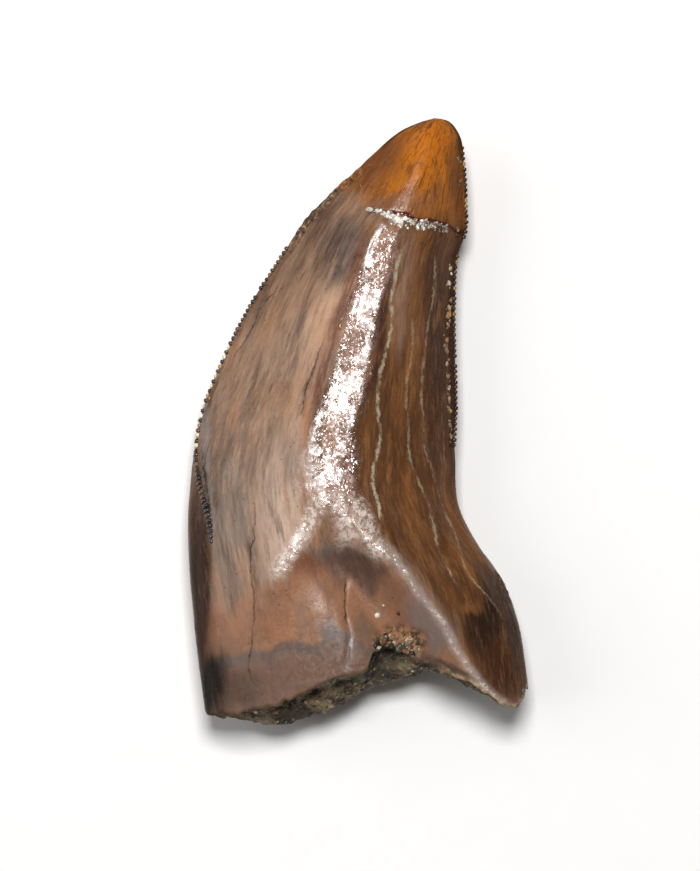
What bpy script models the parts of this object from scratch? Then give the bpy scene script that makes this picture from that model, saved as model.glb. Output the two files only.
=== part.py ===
"""Crown of a small tyrannosauroid's tooth, turned to stone, with the rock that fills its broken root.

The tooth lies on its outer side. +X runs across it from the front edge to the rear edge, +Y runs
along it from the broken root to the tip, and +Z points away from the surface that it lies on. The
origin is on that surface, under the middle of the tooth's outline.

The crown is a loft. Each section spans the front edge and the rear edge at one share of the way
from the tip (0) to a line below the root (1), and stands square to the resting surface. A column
runs down the crown at one place around the sections, and neighbouring columns are stitched
together, so that the two serrated edges can have far more points than the smooth sides.
"""

from math import acos, cos, exp, pi, radians, sin

import bmesh
import bpy
from mathutils import Vector, noise

MM = 0.001

# Driving dimensions, all in millimetres.
# Each row: share of the way down, front edge x and y, rear edge x and y.
EDGE_STATIONS = (
    (0.00, 3.90, 15.20, 3.90, 15.20),
    (0.02, 3.21, 15.02, 4.53, 15.07),
    (0.05, 2.23, 14.59, 5.17, 14.36),
    (0.10, 0.86, 13.44, 5.46, 12.76),
    (0.16, -0.72, 12.00, 5.55, 10.81),
    (0.20, -1.74, 11.08, 5.53, 9.50),
    (0.23, -2.52, 10.28, 5.20, 8.57),
    (0.31, -4.13, 7.93, 4.97, 5.98),
    (0.39, -5.64, 5.51, 5.00, 3.38),
    (0.47, -6.89, 2.95, 5.06, 0.77),
    (0.55, -7.90, 0.30, 4.95, -1.83),
    (0.62, -8.24, -2.17, 5.05, -4.09),
    (0.69, -8.46, -4.65, 6.06, -6.12),
    (0.76, -8.40, -7.15, 7.35, -7.99),
    (0.83, -8.19, -9.64, 8.10, -10.16),
    (0.90, -7.91, -12.11, 8.46, -12.41),
    (1.00, -7.45, -15.65, 8.75, -15.65),
)
# Each row: share, height of the middle, rise of the near side, drop of the far side.
THICKNESS_STATIONS = (
    (0.00, 3.60, 0.00, 0.00),
    (0.02, 3.58, 0.55, 0.45),
    (0.05, 3.52, 1.10, 0.90),
    (0.10, 3.40, 1.75, 1.40),
    (0.16, 3.25, 2.30, 1.85),
    (0.23, 3.15, 2.80, 2.30),
    (0.31, 3.10, 3.20, 2.70),
    (0.39, 3.12, 3.45, 3.06),
    (0.47, 3.18, 3.62, 3.34),
    (0.55, 3.30, 3.72, 3.50),
    (0.62, 3.40, 3.68, 3.60),
    (0.69, 3.50, 3.58, 3.72),
    (0.83, 3.70, 3.34, 3.92),
    (1.00, 3.85, 3.05, 3.80),
)
# Each row: share, where the crest stands across the width (0 front, 1 rear), its height.
CREST = (
    (0.00, 0.56, 0.00),
    (0.12, 0.54, 0.00),
    (0.22, 0.525, 0.00),
    (0.39, 0.55, 0.00),
    (0.47, 0.545, 0.00),
    (0.55, 0.515, 0.00),
    (0.63, 0.515, 0.12),
    (0.69, 0.60, 0.38),
    (0.76, 0.70, 0.42),
    (0.83, 0.767, 0.40),
    (0.90, 0.838, 0.32),
    (0.95, 0.92, 0.22),
    (1.00, 0.96, 0.10),
)
# The low fold that leaves the crest towards the front at the foot of the crown.
FRONT_FOLD = (
    (0.62, 0.50, 0.00),
    (0.69, 0.41, 0.22),
    (0.72, 0.365, 0.32),
    (0.76, 0.29, 0.34),
    (0.80, 0.235, 0.26),
    (0.86, 0.18, 0.10),
    (0.92, 0.15, 0.00),
)
# The hollow between the crest and the fold, which ends as the notch in the broken root.
ROOT_HOLLOW = (
    (0.65, 0.50, 0.00),
    (0.70, 0.49, 0.30),
    (0.74, 0.50, 0.60),
    (0.80, 0.57, 0.85),
    (0.86, 0.645, 1.05),
    (0.93, 0.71, 1.20),
    (1.00, 0.76, 1.20),
)
# Each row: share, how much the crest is worn flat.
CREST_WEAR = (
    (0.00, 0.00),
    (0.12, 0.04),
    (0.20, 0.10),
    (0.28, 0.17),
    (0.36, 0.17),
    (0.50, 0.16),
    (0.60, 0.10),
    (0.68, 0.04),
    (0.76, 0.00),
    (1.00, 0.00),
)
# The rounding of the worn strip's edges, and the wear from which it is full.
WEAR_EDGE = 0.07
WEAR_FULL_EDGE = 0.10
# The share at which the crest leaves the middle of the near side and runs out to the rear.
CREST_SPLIT = 0.60
CREST_HALF_WIDTH = 1.1
FOLD_HALF_WIDTH = 1.2
HOLLOW_HALF_WIDTH = 1.9
# The flatness of the middle over which the ridges and the hollow reach.
RIDGE_REACH = (4.0, 1.0)

# How the sides fall from their peaks to the edges, at the tip and at the root: the first number
# is larger for a flatter middle, and the second is smaller for a rounder edge.
NEAR_FALL = ((1.55, 0.92), (2.30, 0.52))
FAR_FALL = ((2.20, 0.85), (2.20, 0.52))
EDGE_ROUNDING_SHARES = (0.45, 0.75)

# The crack across the near side below the tip.
CRACK_LINE = ((0.75, 10.50), (1.80, 10.00), (2.65, 9.80), (3.65, 9.55), (4.50, 9.35))
CRACK_DEPTH = 0.16
CRACK_HALF_WIDTH = 0.30

# Ragged lower edges of the near and far walls, from the front to the rear.
NEAR_BREAK = (
    (-7.75, -14.10), (-7.45, -14.60), (-6.25, -14.55), (-4.10, -14.00), (-2.85, -13.50),
    (-1.10, -12.65), (0.50, -12.30), (0.80, -11.40), (1.40, -10.90), (2.15, -11.40),
    (3.40, -11.90), (4.15, -12.25), (5.15, -12.80), (6.15, -13.25), (7.15, -14.00),
    (7.90, -14.25), (8.25, -13.80), (8.45, -13.30),
)
FAR_BREAK = (
    (-7.75, -14.10), (-7.45, -14.65), (-6.90, -14.78), (-5.85, -14.75), (-4.95, -15.00),
    (-4.05, -15.20), (-3.35, -14.85), (-1.95, -14.55), (-1.05, -14.25), (0.15, -13.50),
    (0.75, -13.10), (2.25, -12.80), (3.00, -12.35), (3.75, -12.20), (4.65, -12.45),
    (5.85, -13.00), (6.45, -13.60), (7.05, -14.00), (7.65, -14.25), (8.05, -14.15),
    (8.45, -13.30),
)

DENTICLE_PITCH = 0.262
BLADE_HEIGHT = 0.18
DENTICLE_VALLEY = 0.25
# A denticle's top, as parts of the pitch, and how high the valleys are where the tops are worn.
DENTICLE_TOP = (0.28, 0.78)
WORN_VALLEY = 0.80
# The shares between which each blade rises out of the crown, and between which it sinks again.
FRONT_BLADE_RISE = (0.20, 0.28)
FRONT_BLADE_END = (0.70, 0.76)
REAR_BLADE_RISE = (0.03, 0.08)
REAR_BLADE_END = (0.52, 0.57)
# Where each edge carries denticles, as shares, and the gap where some have broken away.
REAR_SERRATION = (0.068, 0.530)
REAR_CHIP = (0.213, 0.232)
FRONT_SERRATION = (0.280, 0.725)
FRONT_FULL_HEIGHT = 0.47
# The front blade leaves the outline between these shares and turns onto the near side.
BLADE_TURN_SHARES = (0.53, 0.71)
BLADE_TURN_ANGLE = 0.58
# Past this turn the blade no longer takes from the outline, and at most this part of the width.
BLADE_OFF_OUTLINE = 0.30
BLADE_WIDTH_PART = 0.10

WALL = 1.5
CAVITY_TOP_SHARE = 0.70
FILL_GAP = 0.30
FILL_RECESS = 0.10
FILL_LUMP = 0.45
FILL_LUMPS_PER_MM = 0.9
BREAK_LUMP = 0.25
BREAK_LUMPS_PER_MM = 1.7
# How the cavity narrows towards its top, and over which sides the near break turns into the far.
CAVITY_NARROWING = (1.5, 0.7)
BREAK_SIDES = (-0.7, 0.7)

# How finely the shapes are divided.
NEAR_COLUMNS = 26
FAR_COLUMNS = 20
BLADE_FLANK = 0.13
ROW_STEP = 0.026
CRACK_ROW_STEP = 0.010
CRACK_ROWS = (0.17, 0.25)
CAVITY_ROWS = 6
FILL_END_ROWS = 5

TOOTH_COLOUR = (0.135, 0.058, 0.024, 1.0)
TOOTH_ROUGHNESS = 0.28
SEDIMENT_COLOUR = (0.170, 0.140, 0.095, 1.0)
SEDIMENT_ROUGHNESS = 0.9
SHARP_ANGLE = radians(36)


class Track:
    """A smooth line through values that are given at shares of the tooth's length."""

    def __init__(self, rows):
        self.shares = [row[0] for row in rows]
        self.values = [Vector(row[1:]) if len(row) > 2 else row[1] for row in rows]
        steps = range(len(rows) - 1)
        gaps = [self.shares[k + 1] - self.shares[k] for k in steps]
        rates = [(self.values[k + 1] - self.values[k]) / gaps[k] for k in steps]
        self.slopes = [rates[0]]
        for k in range(1, len(rates)):
            mixed = rates[k - 1] * gaps[k] + rates[k] * gaps[k - 1]
            self.slopes.append(mixed / (gaps[k - 1] + gaps[k]))
        self.slopes.append(rates[-1])

    def __call__(self, share):
        share = min(max(share, self.shares[0]), self.shares[-1])
        k = 0
        while k < len(self.shares) - 2 and share > self.shares[k + 1]:
            k += 1
        gap = self.shares[k + 1] - self.shares[k]
        s = (share - self.shares[k]) / gap
        return (
            self.values[k] * (2 * s**3 - 3 * s**2 + 1)
            + self.slopes[k] * ((s**3 - 2 * s**2 + s) * gap)
            + self.values[k + 1] * (3 * s**2 - 2 * s**3)
            + self.slopes[k + 1] * ((s**3 - s**2) * gap)
        )


edges = Track(EDGE_STATIONS)
thickness = Track(THICKNESS_STATIONS)
crest = Track(CREST)
front_fold = Track(FRONT_FOLD)
root_hollow = Track(ROOT_HOLLOW)
crest_wear = Track(CREST_WEAR)


def ramp(low, high, value):
    """Rise smoothly from 0 at low to 1 at high."""
    s = min(max((value - low) / (high - low), 0.0), 1.0)
    return s * s * (3 - 2 * s)


def soft_min(a, b, blend):
    """Give the smaller of two heights, rounded over where they are closer than the blend."""
    part = min(max(0.5 + 0.5 * (b - a) / blend, 0.0), 1.0)
    return b + (a - b) * part - blend * part * (1 - part)


def along_line(points, x):
    """Give the height of a jagged line at x."""
    if x <= points[0][0]:
        return points[0][1]
    for (x0, y0), (x1, y1) in zip(points, points[1:]):
        if x <= x1:
            return y0 + (y1 - y0) * (x - x0) / (x1 - x0)
    return points[-1][1]


def distance_to_line(points, place):
    """Give the distance from a place to the nearest part of a jagged line."""
    nearest = None
    for start, end in zip(points, points[1:]):
        start, end = Vector(start), Vector(end)
        run = end - start
        s = min(max((place - start).dot(run) / run.length_squared, 0.0), 1.0)
        gap = (place - start - run * s).length
        nearest = gap if nearest is None else min(nearest, gap)
    return nearest


def front_blade_turn(share):
    """Give the angle by which the front blade stands off the outline, on the near side."""
    return BLADE_TURN_ANGLE * ramp(*BLADE_TURN_SHARES, share)


def blade_weight(share):
    """Say how far the front and rear blades stand out of the crown at this share."""
    front = ramp(*FRONT_BLADE_RISE, share) * (1 - ramp(*FRONT_BLADE_END, share))
    rear = ramp(*REAR_BLADE_RISE, share) * (1 - ramp(*REAR_BLADE_END, share))
    return front, rear


def fall_at(share, fall):
    """Mix the tip's and the root's way of falling off to the edges."""
    weight = ramp(*EDGE_ROUNDING_SHARES, share)
    return [tip + (root - tip) * weight for tip, root in zip(*fall)]


def side_rise(across, peak, fullness, roundness):
    """Give the outline of one side, 0 at both edges and 1 at its peak."""
    reach = peak if across < peak else 1 - peak
    x = min(abs(across - peak) / reach, 1.0)
    return (1 - x**fullness) ** roundness


def bump(track, share, across, width, half_width):
    """Give the height of a ridge or hollow that follows a track down the near side."""
    place, height = track(share)
    if share < track.shares[0]:
        return 0.0
    away = (across - place) * width / half_width
    return max(height, 0.0) * exp(-away * away)


def section_frame(share):
    """Give the front edge, the rear edge and the way across, with the blades taken off."""
    row = edges(share)
    front, rear = Vector(row[:2]), Vector(row[2:])
    way = rear - front
    width = max(way.length, 0.001)
    way = way / width
    front_blade, rear_blade = blade_weight(share)
    on_outline = 1 - ramp(0.0, BLADE_OFF_OUTLINE, front_blade_turn(share))
    inset = min(BLADE_HEIGHT, width * BLADE_WIDTH_PART)
    return front + way * inset * front_blade * on_outline, rear - way * inset * rear_blade, way


def crown_point(angle, share, inset=0.0):
    """Give a point of the crown's skin, or of the same form inset into it, in millimetres.

    The angle is 0 at the rear edge, rises over the near side to pi at the front edge, and goes on
    round the far side.
    """
    front, rear, way = section_frame(share)
    middle, near_rise, far_drop = thickness(share)
    width = (rear - front).length
    across = (1 + cos(angle)) / 2
    if sin(angle) >= 0:
        peak = crest(min(share, CREST_SPLIT))[0]
        height = near_rise * side_rise(across, peak, *fall_at(share, NEAR_FALL))
        wear = crest_wear(share)
        if wear > 0:
            height = soft_min(height, near_rise - wear, WEAR_EDGE * min(wear / WEAR_FULL_EDGE, 1.0))
        fade = side_rise(across, 0.5, *RIDGE_REACH)
        height += fade * bump(crest, share, across, width, CREST_HALF_WIDTH)
        height += fade * bump(front_fold, share, across, width, FOLD_HALF_WIDTH)
        height -= fade * bump(root_hollow, share, across, width, HOLLOW_HALF_WIDTH)
    else:
        height = -far_drop * side_rise(across, 0.5, *fall_at(share, FAR_FALL))
    across_place = 0.5 + (across - 0.5) * (1 - 2 * inset / width)
    height *= 1 - inset / (near_rise if height > 0 else far_drop)
    flat = front + (rear - front) * across_place
    if sin(angle) > 0 and inset == 0:
        gap = distance_to_line(CRACK_LINE, flat) / CRACK_HALF_WIDTH
        height -= CRACK_DEPTH * exp(-gap * gap)
    return Vector((flat.x, flat.y, max(middle + height, 0.0)))


def break_height(x, side):
    """Give the broken edge's y at x, for a side from -1, the far wall, to 1, the near wall."""
    near = along_line(NEAR_BREAK, x)
    far = along_line(FAR_BREAK, x)
    return far + (near - far) * ramp(*BREAK_SIDES, side)


def break_share(angle, inset=0.0):
    """Find the share at which a column, or its inset copy, reaches the ragged broken edge."""
    low, high = 0.75, 1.0
    for _ in range(24):
        share = (low + high) / 2
        place = crown_point(angle, share, inset)
        if place.y > break_height(place.x, sin(angle)):
            low = share
        else:
            high = share
    return low


def column_angle(column, share):
    """Give the angle of a column.

    Column 0 is the rear blade and column NEAR_COLUMNS the front blade. The columns beside a blade
    run close to it, and the rest share what is left of their side evenly.
    """
    front, rear, _ = section_frame(share)
    blade = pi - front_blade_turn(share)
    flank = min(BLADE_FLANK / (rear - front).length, 0.02)
    rear_flank = acos(1 - 2 * flank)
    front_flank = blade - acos(cos(blade) + 2 * flank)
    if column == 0:
        return 0.0
    if column == NEAR_COLUMNS:
        return blade
    if column < NEAR_COLUMNS:
        low, high = rear_flank, blade - front_flank
        return low + (high - low) * (column - 1) / (NEAR_COLUMNS - 2)
    low, high = blade + front_flank, 2 * pi - rear_flank
    return low + (high - low) * (column - NEAR_COLUMNS - 1) / (FAR_COLUMNS - 2)


def row_shares(end):
    """List the shares of a smooth column's points, closer together at the crack."""
    shares = [0.007, 0.02]
    while shares[-1] < 1 - 0.4 * ROW_STEP:
        in_crack = CRACK_ROWS[0] < shares[-1] < CRACK_ROWS[1]
        shares.append(shares[-1] + (CRACK_ROW_STEP if in_crack else ROW_STEP))
    shares[-1] = 1.0
    return [share * end for share in shares]


def edge_length(front_edge, stretch):
    """Measure one edge of the crown between two shares."""
    first = 0 if front_edge else 2
    total = 0.0
    pieces = 200
    for k in range(pieces):
        here = edges(stretch[0] + (stretch[1] - stretch[0]) * k / pieces)
        there = edges(stretch[0] + (stretch[1] - stretch[0]) * (k + 1) / pieces)
        total += (Vector(there[first:first + 2]) - Vector(here[first:first + 2])).length
    return total


def blade_points(front_edge, end):
    """List (share, height) down a blade: smooth rows, and three points to each denticle."""
    stretch = FRONT_SERRATION if front_edge else REAR_SERRATION
    count = round(edge_length(front_edge, stretch) / DENTICLE_PITCH)
    step = (stretch[1] - stretch[0]) / count
    weight_index = 0 if front_edge else 1
    points = [(share, 0.0) for share in row_shares(end) if share < stretch[0] - step / 2]
    for k in range(count):
        share = stretch[0] + k * step
        chipped = not front_edge and REAR_CHIP[0] < share < REAR_CHIP[1]
        crown = 0.0 if chipped else 1.0
        worn = 1 - ramp(FRONT_SERRATION[0], FRONT_FULL_HEIGHT, share) if front_edge else 0.0
        valley = DENTICLE_VALLEY + (WORN_VALLEY - DENTICLE_VALLEY) * worn
        for along, height in ((0.0, valley), (DENTICLE_TOP[0], 1.0), (DENTICLE_TOP[1], 1.0)):
            points.append((share + along * step, height * crown))
    points += [(share, 0.0) for share in row_shares(end) if share > stretch[1] + step / 2]
    return [(s, BLADE_HEIGHT * h * blade_weight(s)[weight_index]) for s, h in points]


def blade_place(angle, share, height):
    """Give a point on a blade, standing out of the crown's skin by a height."""
    way = section_frame(share)[2]
    outwards = Vector((way.x * cos(angle), way.y * cos(angle), sin(angle)))
    return crown_point(angle, share) + outwards * height


def stitch(mesh, left, right):
    """Join two columns of (share, vertex) with triangles, however many points each has."""
    i = j = 0
    while i < len(left) - 1 or j < len(right) - 1:
        step_left = j == len(right) - 1
        if i < len(left) - 1 and j < len(right) - 1:
            step_left = left[i + 1][0] <= right[j + 1][0]
        if step_left:
            mesh.faces.new((left[i][1], left[i + 1][1], right[j][1]))
            i += 1
        else:
            mesh.faces.new((left[i][1], right[j + 1][1], right[j][1]))
            j += 1


def add_vertex(mesh, place):
    return mesh.verts.new(place * MM)


def close_ring(mesh, ring, apex):
    """Join a ring of vertices to one vertex."""
    for here, there in zip(ring, ring[1:] + ring[:1]):
        mesh.faces.new((here, there, apex))


def join_rings(mesh, outer, inner):
    """Join two rings that have the same number of vertices."""
    for k in range(len(outer)):
        n = (k + 1) % len(outer)
        mesh.faces.new((outer[k], outer[n], inner[n]))
        mesh.faces.new((outer[k], inner[n], inner[k]))


def cavity_point(column, depth, inset):
    """Give a point of the root cavity's wall: depth is 0 at the broken edge and 1 at its top."""
    angle = column_angle(column, 1.0)
    mouth = break_share(angle, inset)
    share = mouth + (CAVITY_TOP_SHARE - mouth) * depth
    centre_edges = section_frame(share)
    centre = (centre_edges[0] + centre_edges[1]) / 2
    centre = Vector((centre.x, centre.y, thickness(share)[0]))
    fullness, roundness = CAVITY_NARROWING
    return centre + (crown_point(angle, share, inset) - centre) * (1 - depth**fullness) ** roundness


def cavity_rings(mesh, columns, inset):
    """Make the rings of the cavity's wall, from its mouth to just under its top."""
    rings = []
    for row in range(CAVITY_ROWS):
        depth = row / CAVITY_ROWS
        rings.append([add_vertex(mesh, cavity_point(c, depth, inset)) for c in range(columns)])
    return rings


def finish_mesh(name, mesh, material, collection):
    """Turn a built mesh into a named, smooth-shaded object."""
    bmesh.ops.recalc_face_normals(mesh, faces=mesh.faces)
    data = bpy.data.meshes.new(name)
    mesh.to_mesh(data)
    mesh.free()
    data.materials.append(material)
    data.shade_smooth()
    data.set_sharp_from_angle(angle=SHARP_ANGLE)
    piece = bpy.data.objects.new(name, data)
    collection.objects.link(piece)
    return piece


def make_material(name, colour, roughness):
    material = bpy.data.materials.new(name)
    material.use_nodes = True
    shader = material.node_tree.nodes["Principled BSDF"]
    shader.inputs["Base Color"].default_value = colour
    shader.inputs["Roughness"].default_value = roughness
    shader.inputs["Metallic"].default_value = 0.0
    return material


def build_tooth(collection):
    """Loft the crown down to its broken edge, and turn it inwards up the root cavity."""
    mesh = bmesh.new()
    columns = []
    for column in range(NEAR_COLUMNS + FAR_COLUMNS):
        end = break_share(column_angle(column, 1.0))
        if column in (0, NEAR_COLUMNS):
            points = blade_points(column == NEAR_COLUMNS, end)
        else:
            points = [(share, 0.0) for share in row_shares(end)]
        chain = []
        for share, height in points:
            place = blade_place(column_angle(column, share), share, height)
            chain.append((share, add_vertex(mesh, place)))
        columns.append(chain)
    for left, right in zip(columns, columns[1:] + columns[:1]):
        stitch(mesh, left, right)
    row = edges(0.0)
    tip = add_vertex(mesh, Vector((row[0], row[1], thickness(0.0)[0])))
    close_ring(mesh, [chain[0][1] for chain in columns], tip)

    rings = cavity_rings(mesh, len(columns), WALL)
    rim = [chain[-1][1] for chain in columns]
    broken = []
    for outer, inner in zip(rim, rings[0]):
        spot = (outer.co + inner.co) / 2 / MM
        spot.y += noise.noise(spot * BREAK_LUMPS_PER_MM) * BREAK_LUMP
        broken.append(add_vertex(mesh, spot))
    join_rings(mesh, rim, broken)
    join_rings(mesh, broken, rings[0])
    for outer, inner in zip(rings, rings[1:]):
        join_rings(mesh, outer, inner)
    top = add_vertex(mesh, cavity_point(0, 1.0, WALL))
    close_ring(mesh, rings[-1], top)
    material = make_material("enamel", TOOTH_COLOUR, TOOTH_ROUGHNESS)
    return finish_mesh("tooth", mesh, material, collection)


def build_sediment(collection):
    """Fill the root cavity with a plug that keeps clear of its wall and ends in rough lumps."""
    mesh = bmesh.new()
    count = NEAR_COLUMNS + FAR_COLUMNS
    rings = cavity_rings(mesh, count, WALL + FILL_GAP)[:-1]
    for outer, inner in zip(rings, rings[1:]):
        join_rings(mesh, outer, inner)
    last = rings[-1]
    top = sum((vertex.co for vertex in last), Vector()) / count
    close_ring(mesh, last, mesh.verts.new(top))

    mouth = [vertex.co / MM for vertex in rings[0]]
    centre = sum(mouth, Vector()) / count
    half_depth = max(place.z for place in mouth) - centre.z
    for vertex in rings[0]:
        vertex.co.y += FILL_RECESS * MM
    outer = rings[0]
    for row in range(1, FILL_END_ROWS + 1):
        spots = [centre + (place - centre) * (1 - row / FILL_END_ROWS) for place in mouth]
        for spot in spots:
            lump = noise.noise(Vector((spot.x, 0, spot.z)) * FILL_LUMPS_PER_MM) * FILL_LUMP
            spot.y = break_height(spot.x, (spot.z - centre.z) / half_depth) + FILL_RECESS + lump
        if row == FILL_END_ROWS:
            close_ring(mesh, outer, add_vertex(mesh, spots[0]))
        else:
            ring = [add_vertex(mesh, spot) for spot in spots]
            join_rings(mesh, outer, ring)
            outer = ring
    material = make_material("sediment", SEDIMENT_COLOUR, SEDIMENT_ROUGHNESS)
    return finish_mesh("sediment_fill", mesh, material, collection)


def main():
    for old in list(bpy.data.objects):
        bpy.data.objects.remove(old, do_unlink=True)
    collection = bpy.data.collections.new("fossil_tooth")
    bpy.context.scene.collection.children.link(collection)
    build_tooth(collection)
    build_sediment(collection)


main()
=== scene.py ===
import random
from math import cos, pi, radians, sin

import bpy
import numpy as np
from mathutils import Matrix, Vector, noise


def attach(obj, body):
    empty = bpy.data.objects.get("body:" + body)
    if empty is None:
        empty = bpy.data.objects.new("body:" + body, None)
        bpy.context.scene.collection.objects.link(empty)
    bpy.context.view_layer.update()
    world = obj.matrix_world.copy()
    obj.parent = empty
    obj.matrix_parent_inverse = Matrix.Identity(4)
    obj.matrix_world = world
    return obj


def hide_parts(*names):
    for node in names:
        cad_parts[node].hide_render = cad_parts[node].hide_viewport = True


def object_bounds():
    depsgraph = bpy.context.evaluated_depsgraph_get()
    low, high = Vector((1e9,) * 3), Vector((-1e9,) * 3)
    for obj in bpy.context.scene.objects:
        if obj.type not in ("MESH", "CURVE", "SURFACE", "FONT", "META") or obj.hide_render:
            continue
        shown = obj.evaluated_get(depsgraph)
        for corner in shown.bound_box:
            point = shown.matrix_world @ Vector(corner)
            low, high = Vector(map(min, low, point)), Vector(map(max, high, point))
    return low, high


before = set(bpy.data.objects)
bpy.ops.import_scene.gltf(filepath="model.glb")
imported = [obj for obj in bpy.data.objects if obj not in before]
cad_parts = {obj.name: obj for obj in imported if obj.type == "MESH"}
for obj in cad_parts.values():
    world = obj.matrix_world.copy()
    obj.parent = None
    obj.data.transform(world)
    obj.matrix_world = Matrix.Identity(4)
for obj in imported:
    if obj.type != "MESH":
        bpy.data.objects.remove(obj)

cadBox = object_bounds()
mm = 0.001
print("frame loaded, box", [round(v / mm, 2) for v in (*cadBox[0], *cadBox[1])])


# small helpers for working on pieces

def pick(*things):
    if bpy.context.object and bpy.context.object.mode != "OBJECT":
        bpy.ops.object.mode_set(mode="OBJECT")
    bpy.ops.object.select_all(action="DESELECT")
    for thing in things:
        thing.select_set(True)
    if things:
        bpy.context.view_layer.objects.active = things[0]


def applyModifiers(piece):
    pick(piece)
    for modifier in list(piece.modifiers):
        bpy.ops.object.modifier_apply(modifier=modifier.name)


def onWholeMesh(piece, work, **settings):
    pick(piece)
    bpy.ops.object.mode_set(mode="EDIT")
    bpy.ops.mesh.select_all(action="SELECT")
    work(**settings)
    bpy.ops.object.mode_set(mode="OBJECT")


def smoothSkin(piece):  # its faces look outwards and are shaded smooth
    onWholeMesh(piece, bpy.ops.mesh.normals_make_consistent, inside=False)
    bpy.ops.object.shade_smooth()


def newest(name):  # names the piece that was just made
    piece = bpy.context.object
    piece.name = piece.data.name = name
    return piece


def addObject(name, data):
    thing = bpy.data.objects.new(name, data)
    bpy.context.scene.collection.objects.link(thing)
    return thing


def joinAs(name, things):  # their places go into the one mesh
    pick(*things)
    if len(things) > 1:
        bpy.ops.object.join()
    bpy.ops.object.transform_apply(location=True, rotation=True, scale=True)
    return newest(name)


def copyOf(source, place, tone):  # each copy has its own mesh and its own shade
    mesh = source.data.copy()
    mesh.transform(place)
    shade = mesh.attributes.new("tone", "FLOAT", "POINT")
    shade.data.foreach_set("value", np.full(len(mesh.vertices), tone, dtype=np.float32))
    return addObject(source.name, mesh)


def dress(piece, material, slot, *nodes):
    piece.data.materials.clear()
    piece.data.materials.append(material)
    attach(piece, "root")
    if nodes:
        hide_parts(*nodes)


def keepInBox(piece):
    corners = np.empty(len(piece.data.vertices) * 3)
    piece.data.vertices.foreach_get("co", corners)
    corners = np.clip(corners.reshape(-1, 3), np.array(cadBox[0]), np.array(cadBox[1]))
    piece.data.vertices.foreach_set("co", corners.ravel())
    piece.data.update()


def lumps(places, size, seed):  # smooth noise from -1 to 1 at places in mm
    size = np.broadcast_to(np.array(size, dtype=float), (3,))
    spots = (np.asarray(places) / size + seed).reshape(-1, 3)
    heights = [noise.noise(Vector(spot)) for spot in spots]
    return np.array(heights).reshape(np.shape(places)[:-1])


def ramp(value, low, high):
    s = np.clip((value - low) / (high - low), 0.0, 1.0)
    return s * s * (3 - 2 * s)


def between(value, low, full, fading, gone):
    return ramp(value, low, full) * (1 - ramp(value, fading, gone))


def relief(places, layers):  # layers of smooth noise, each with its height, size and seed
    return sum(height * lumps(places, size, seed) for height, size, seed in layers)


# the tooth's form, the same as the CAD solid's, in mm

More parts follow.
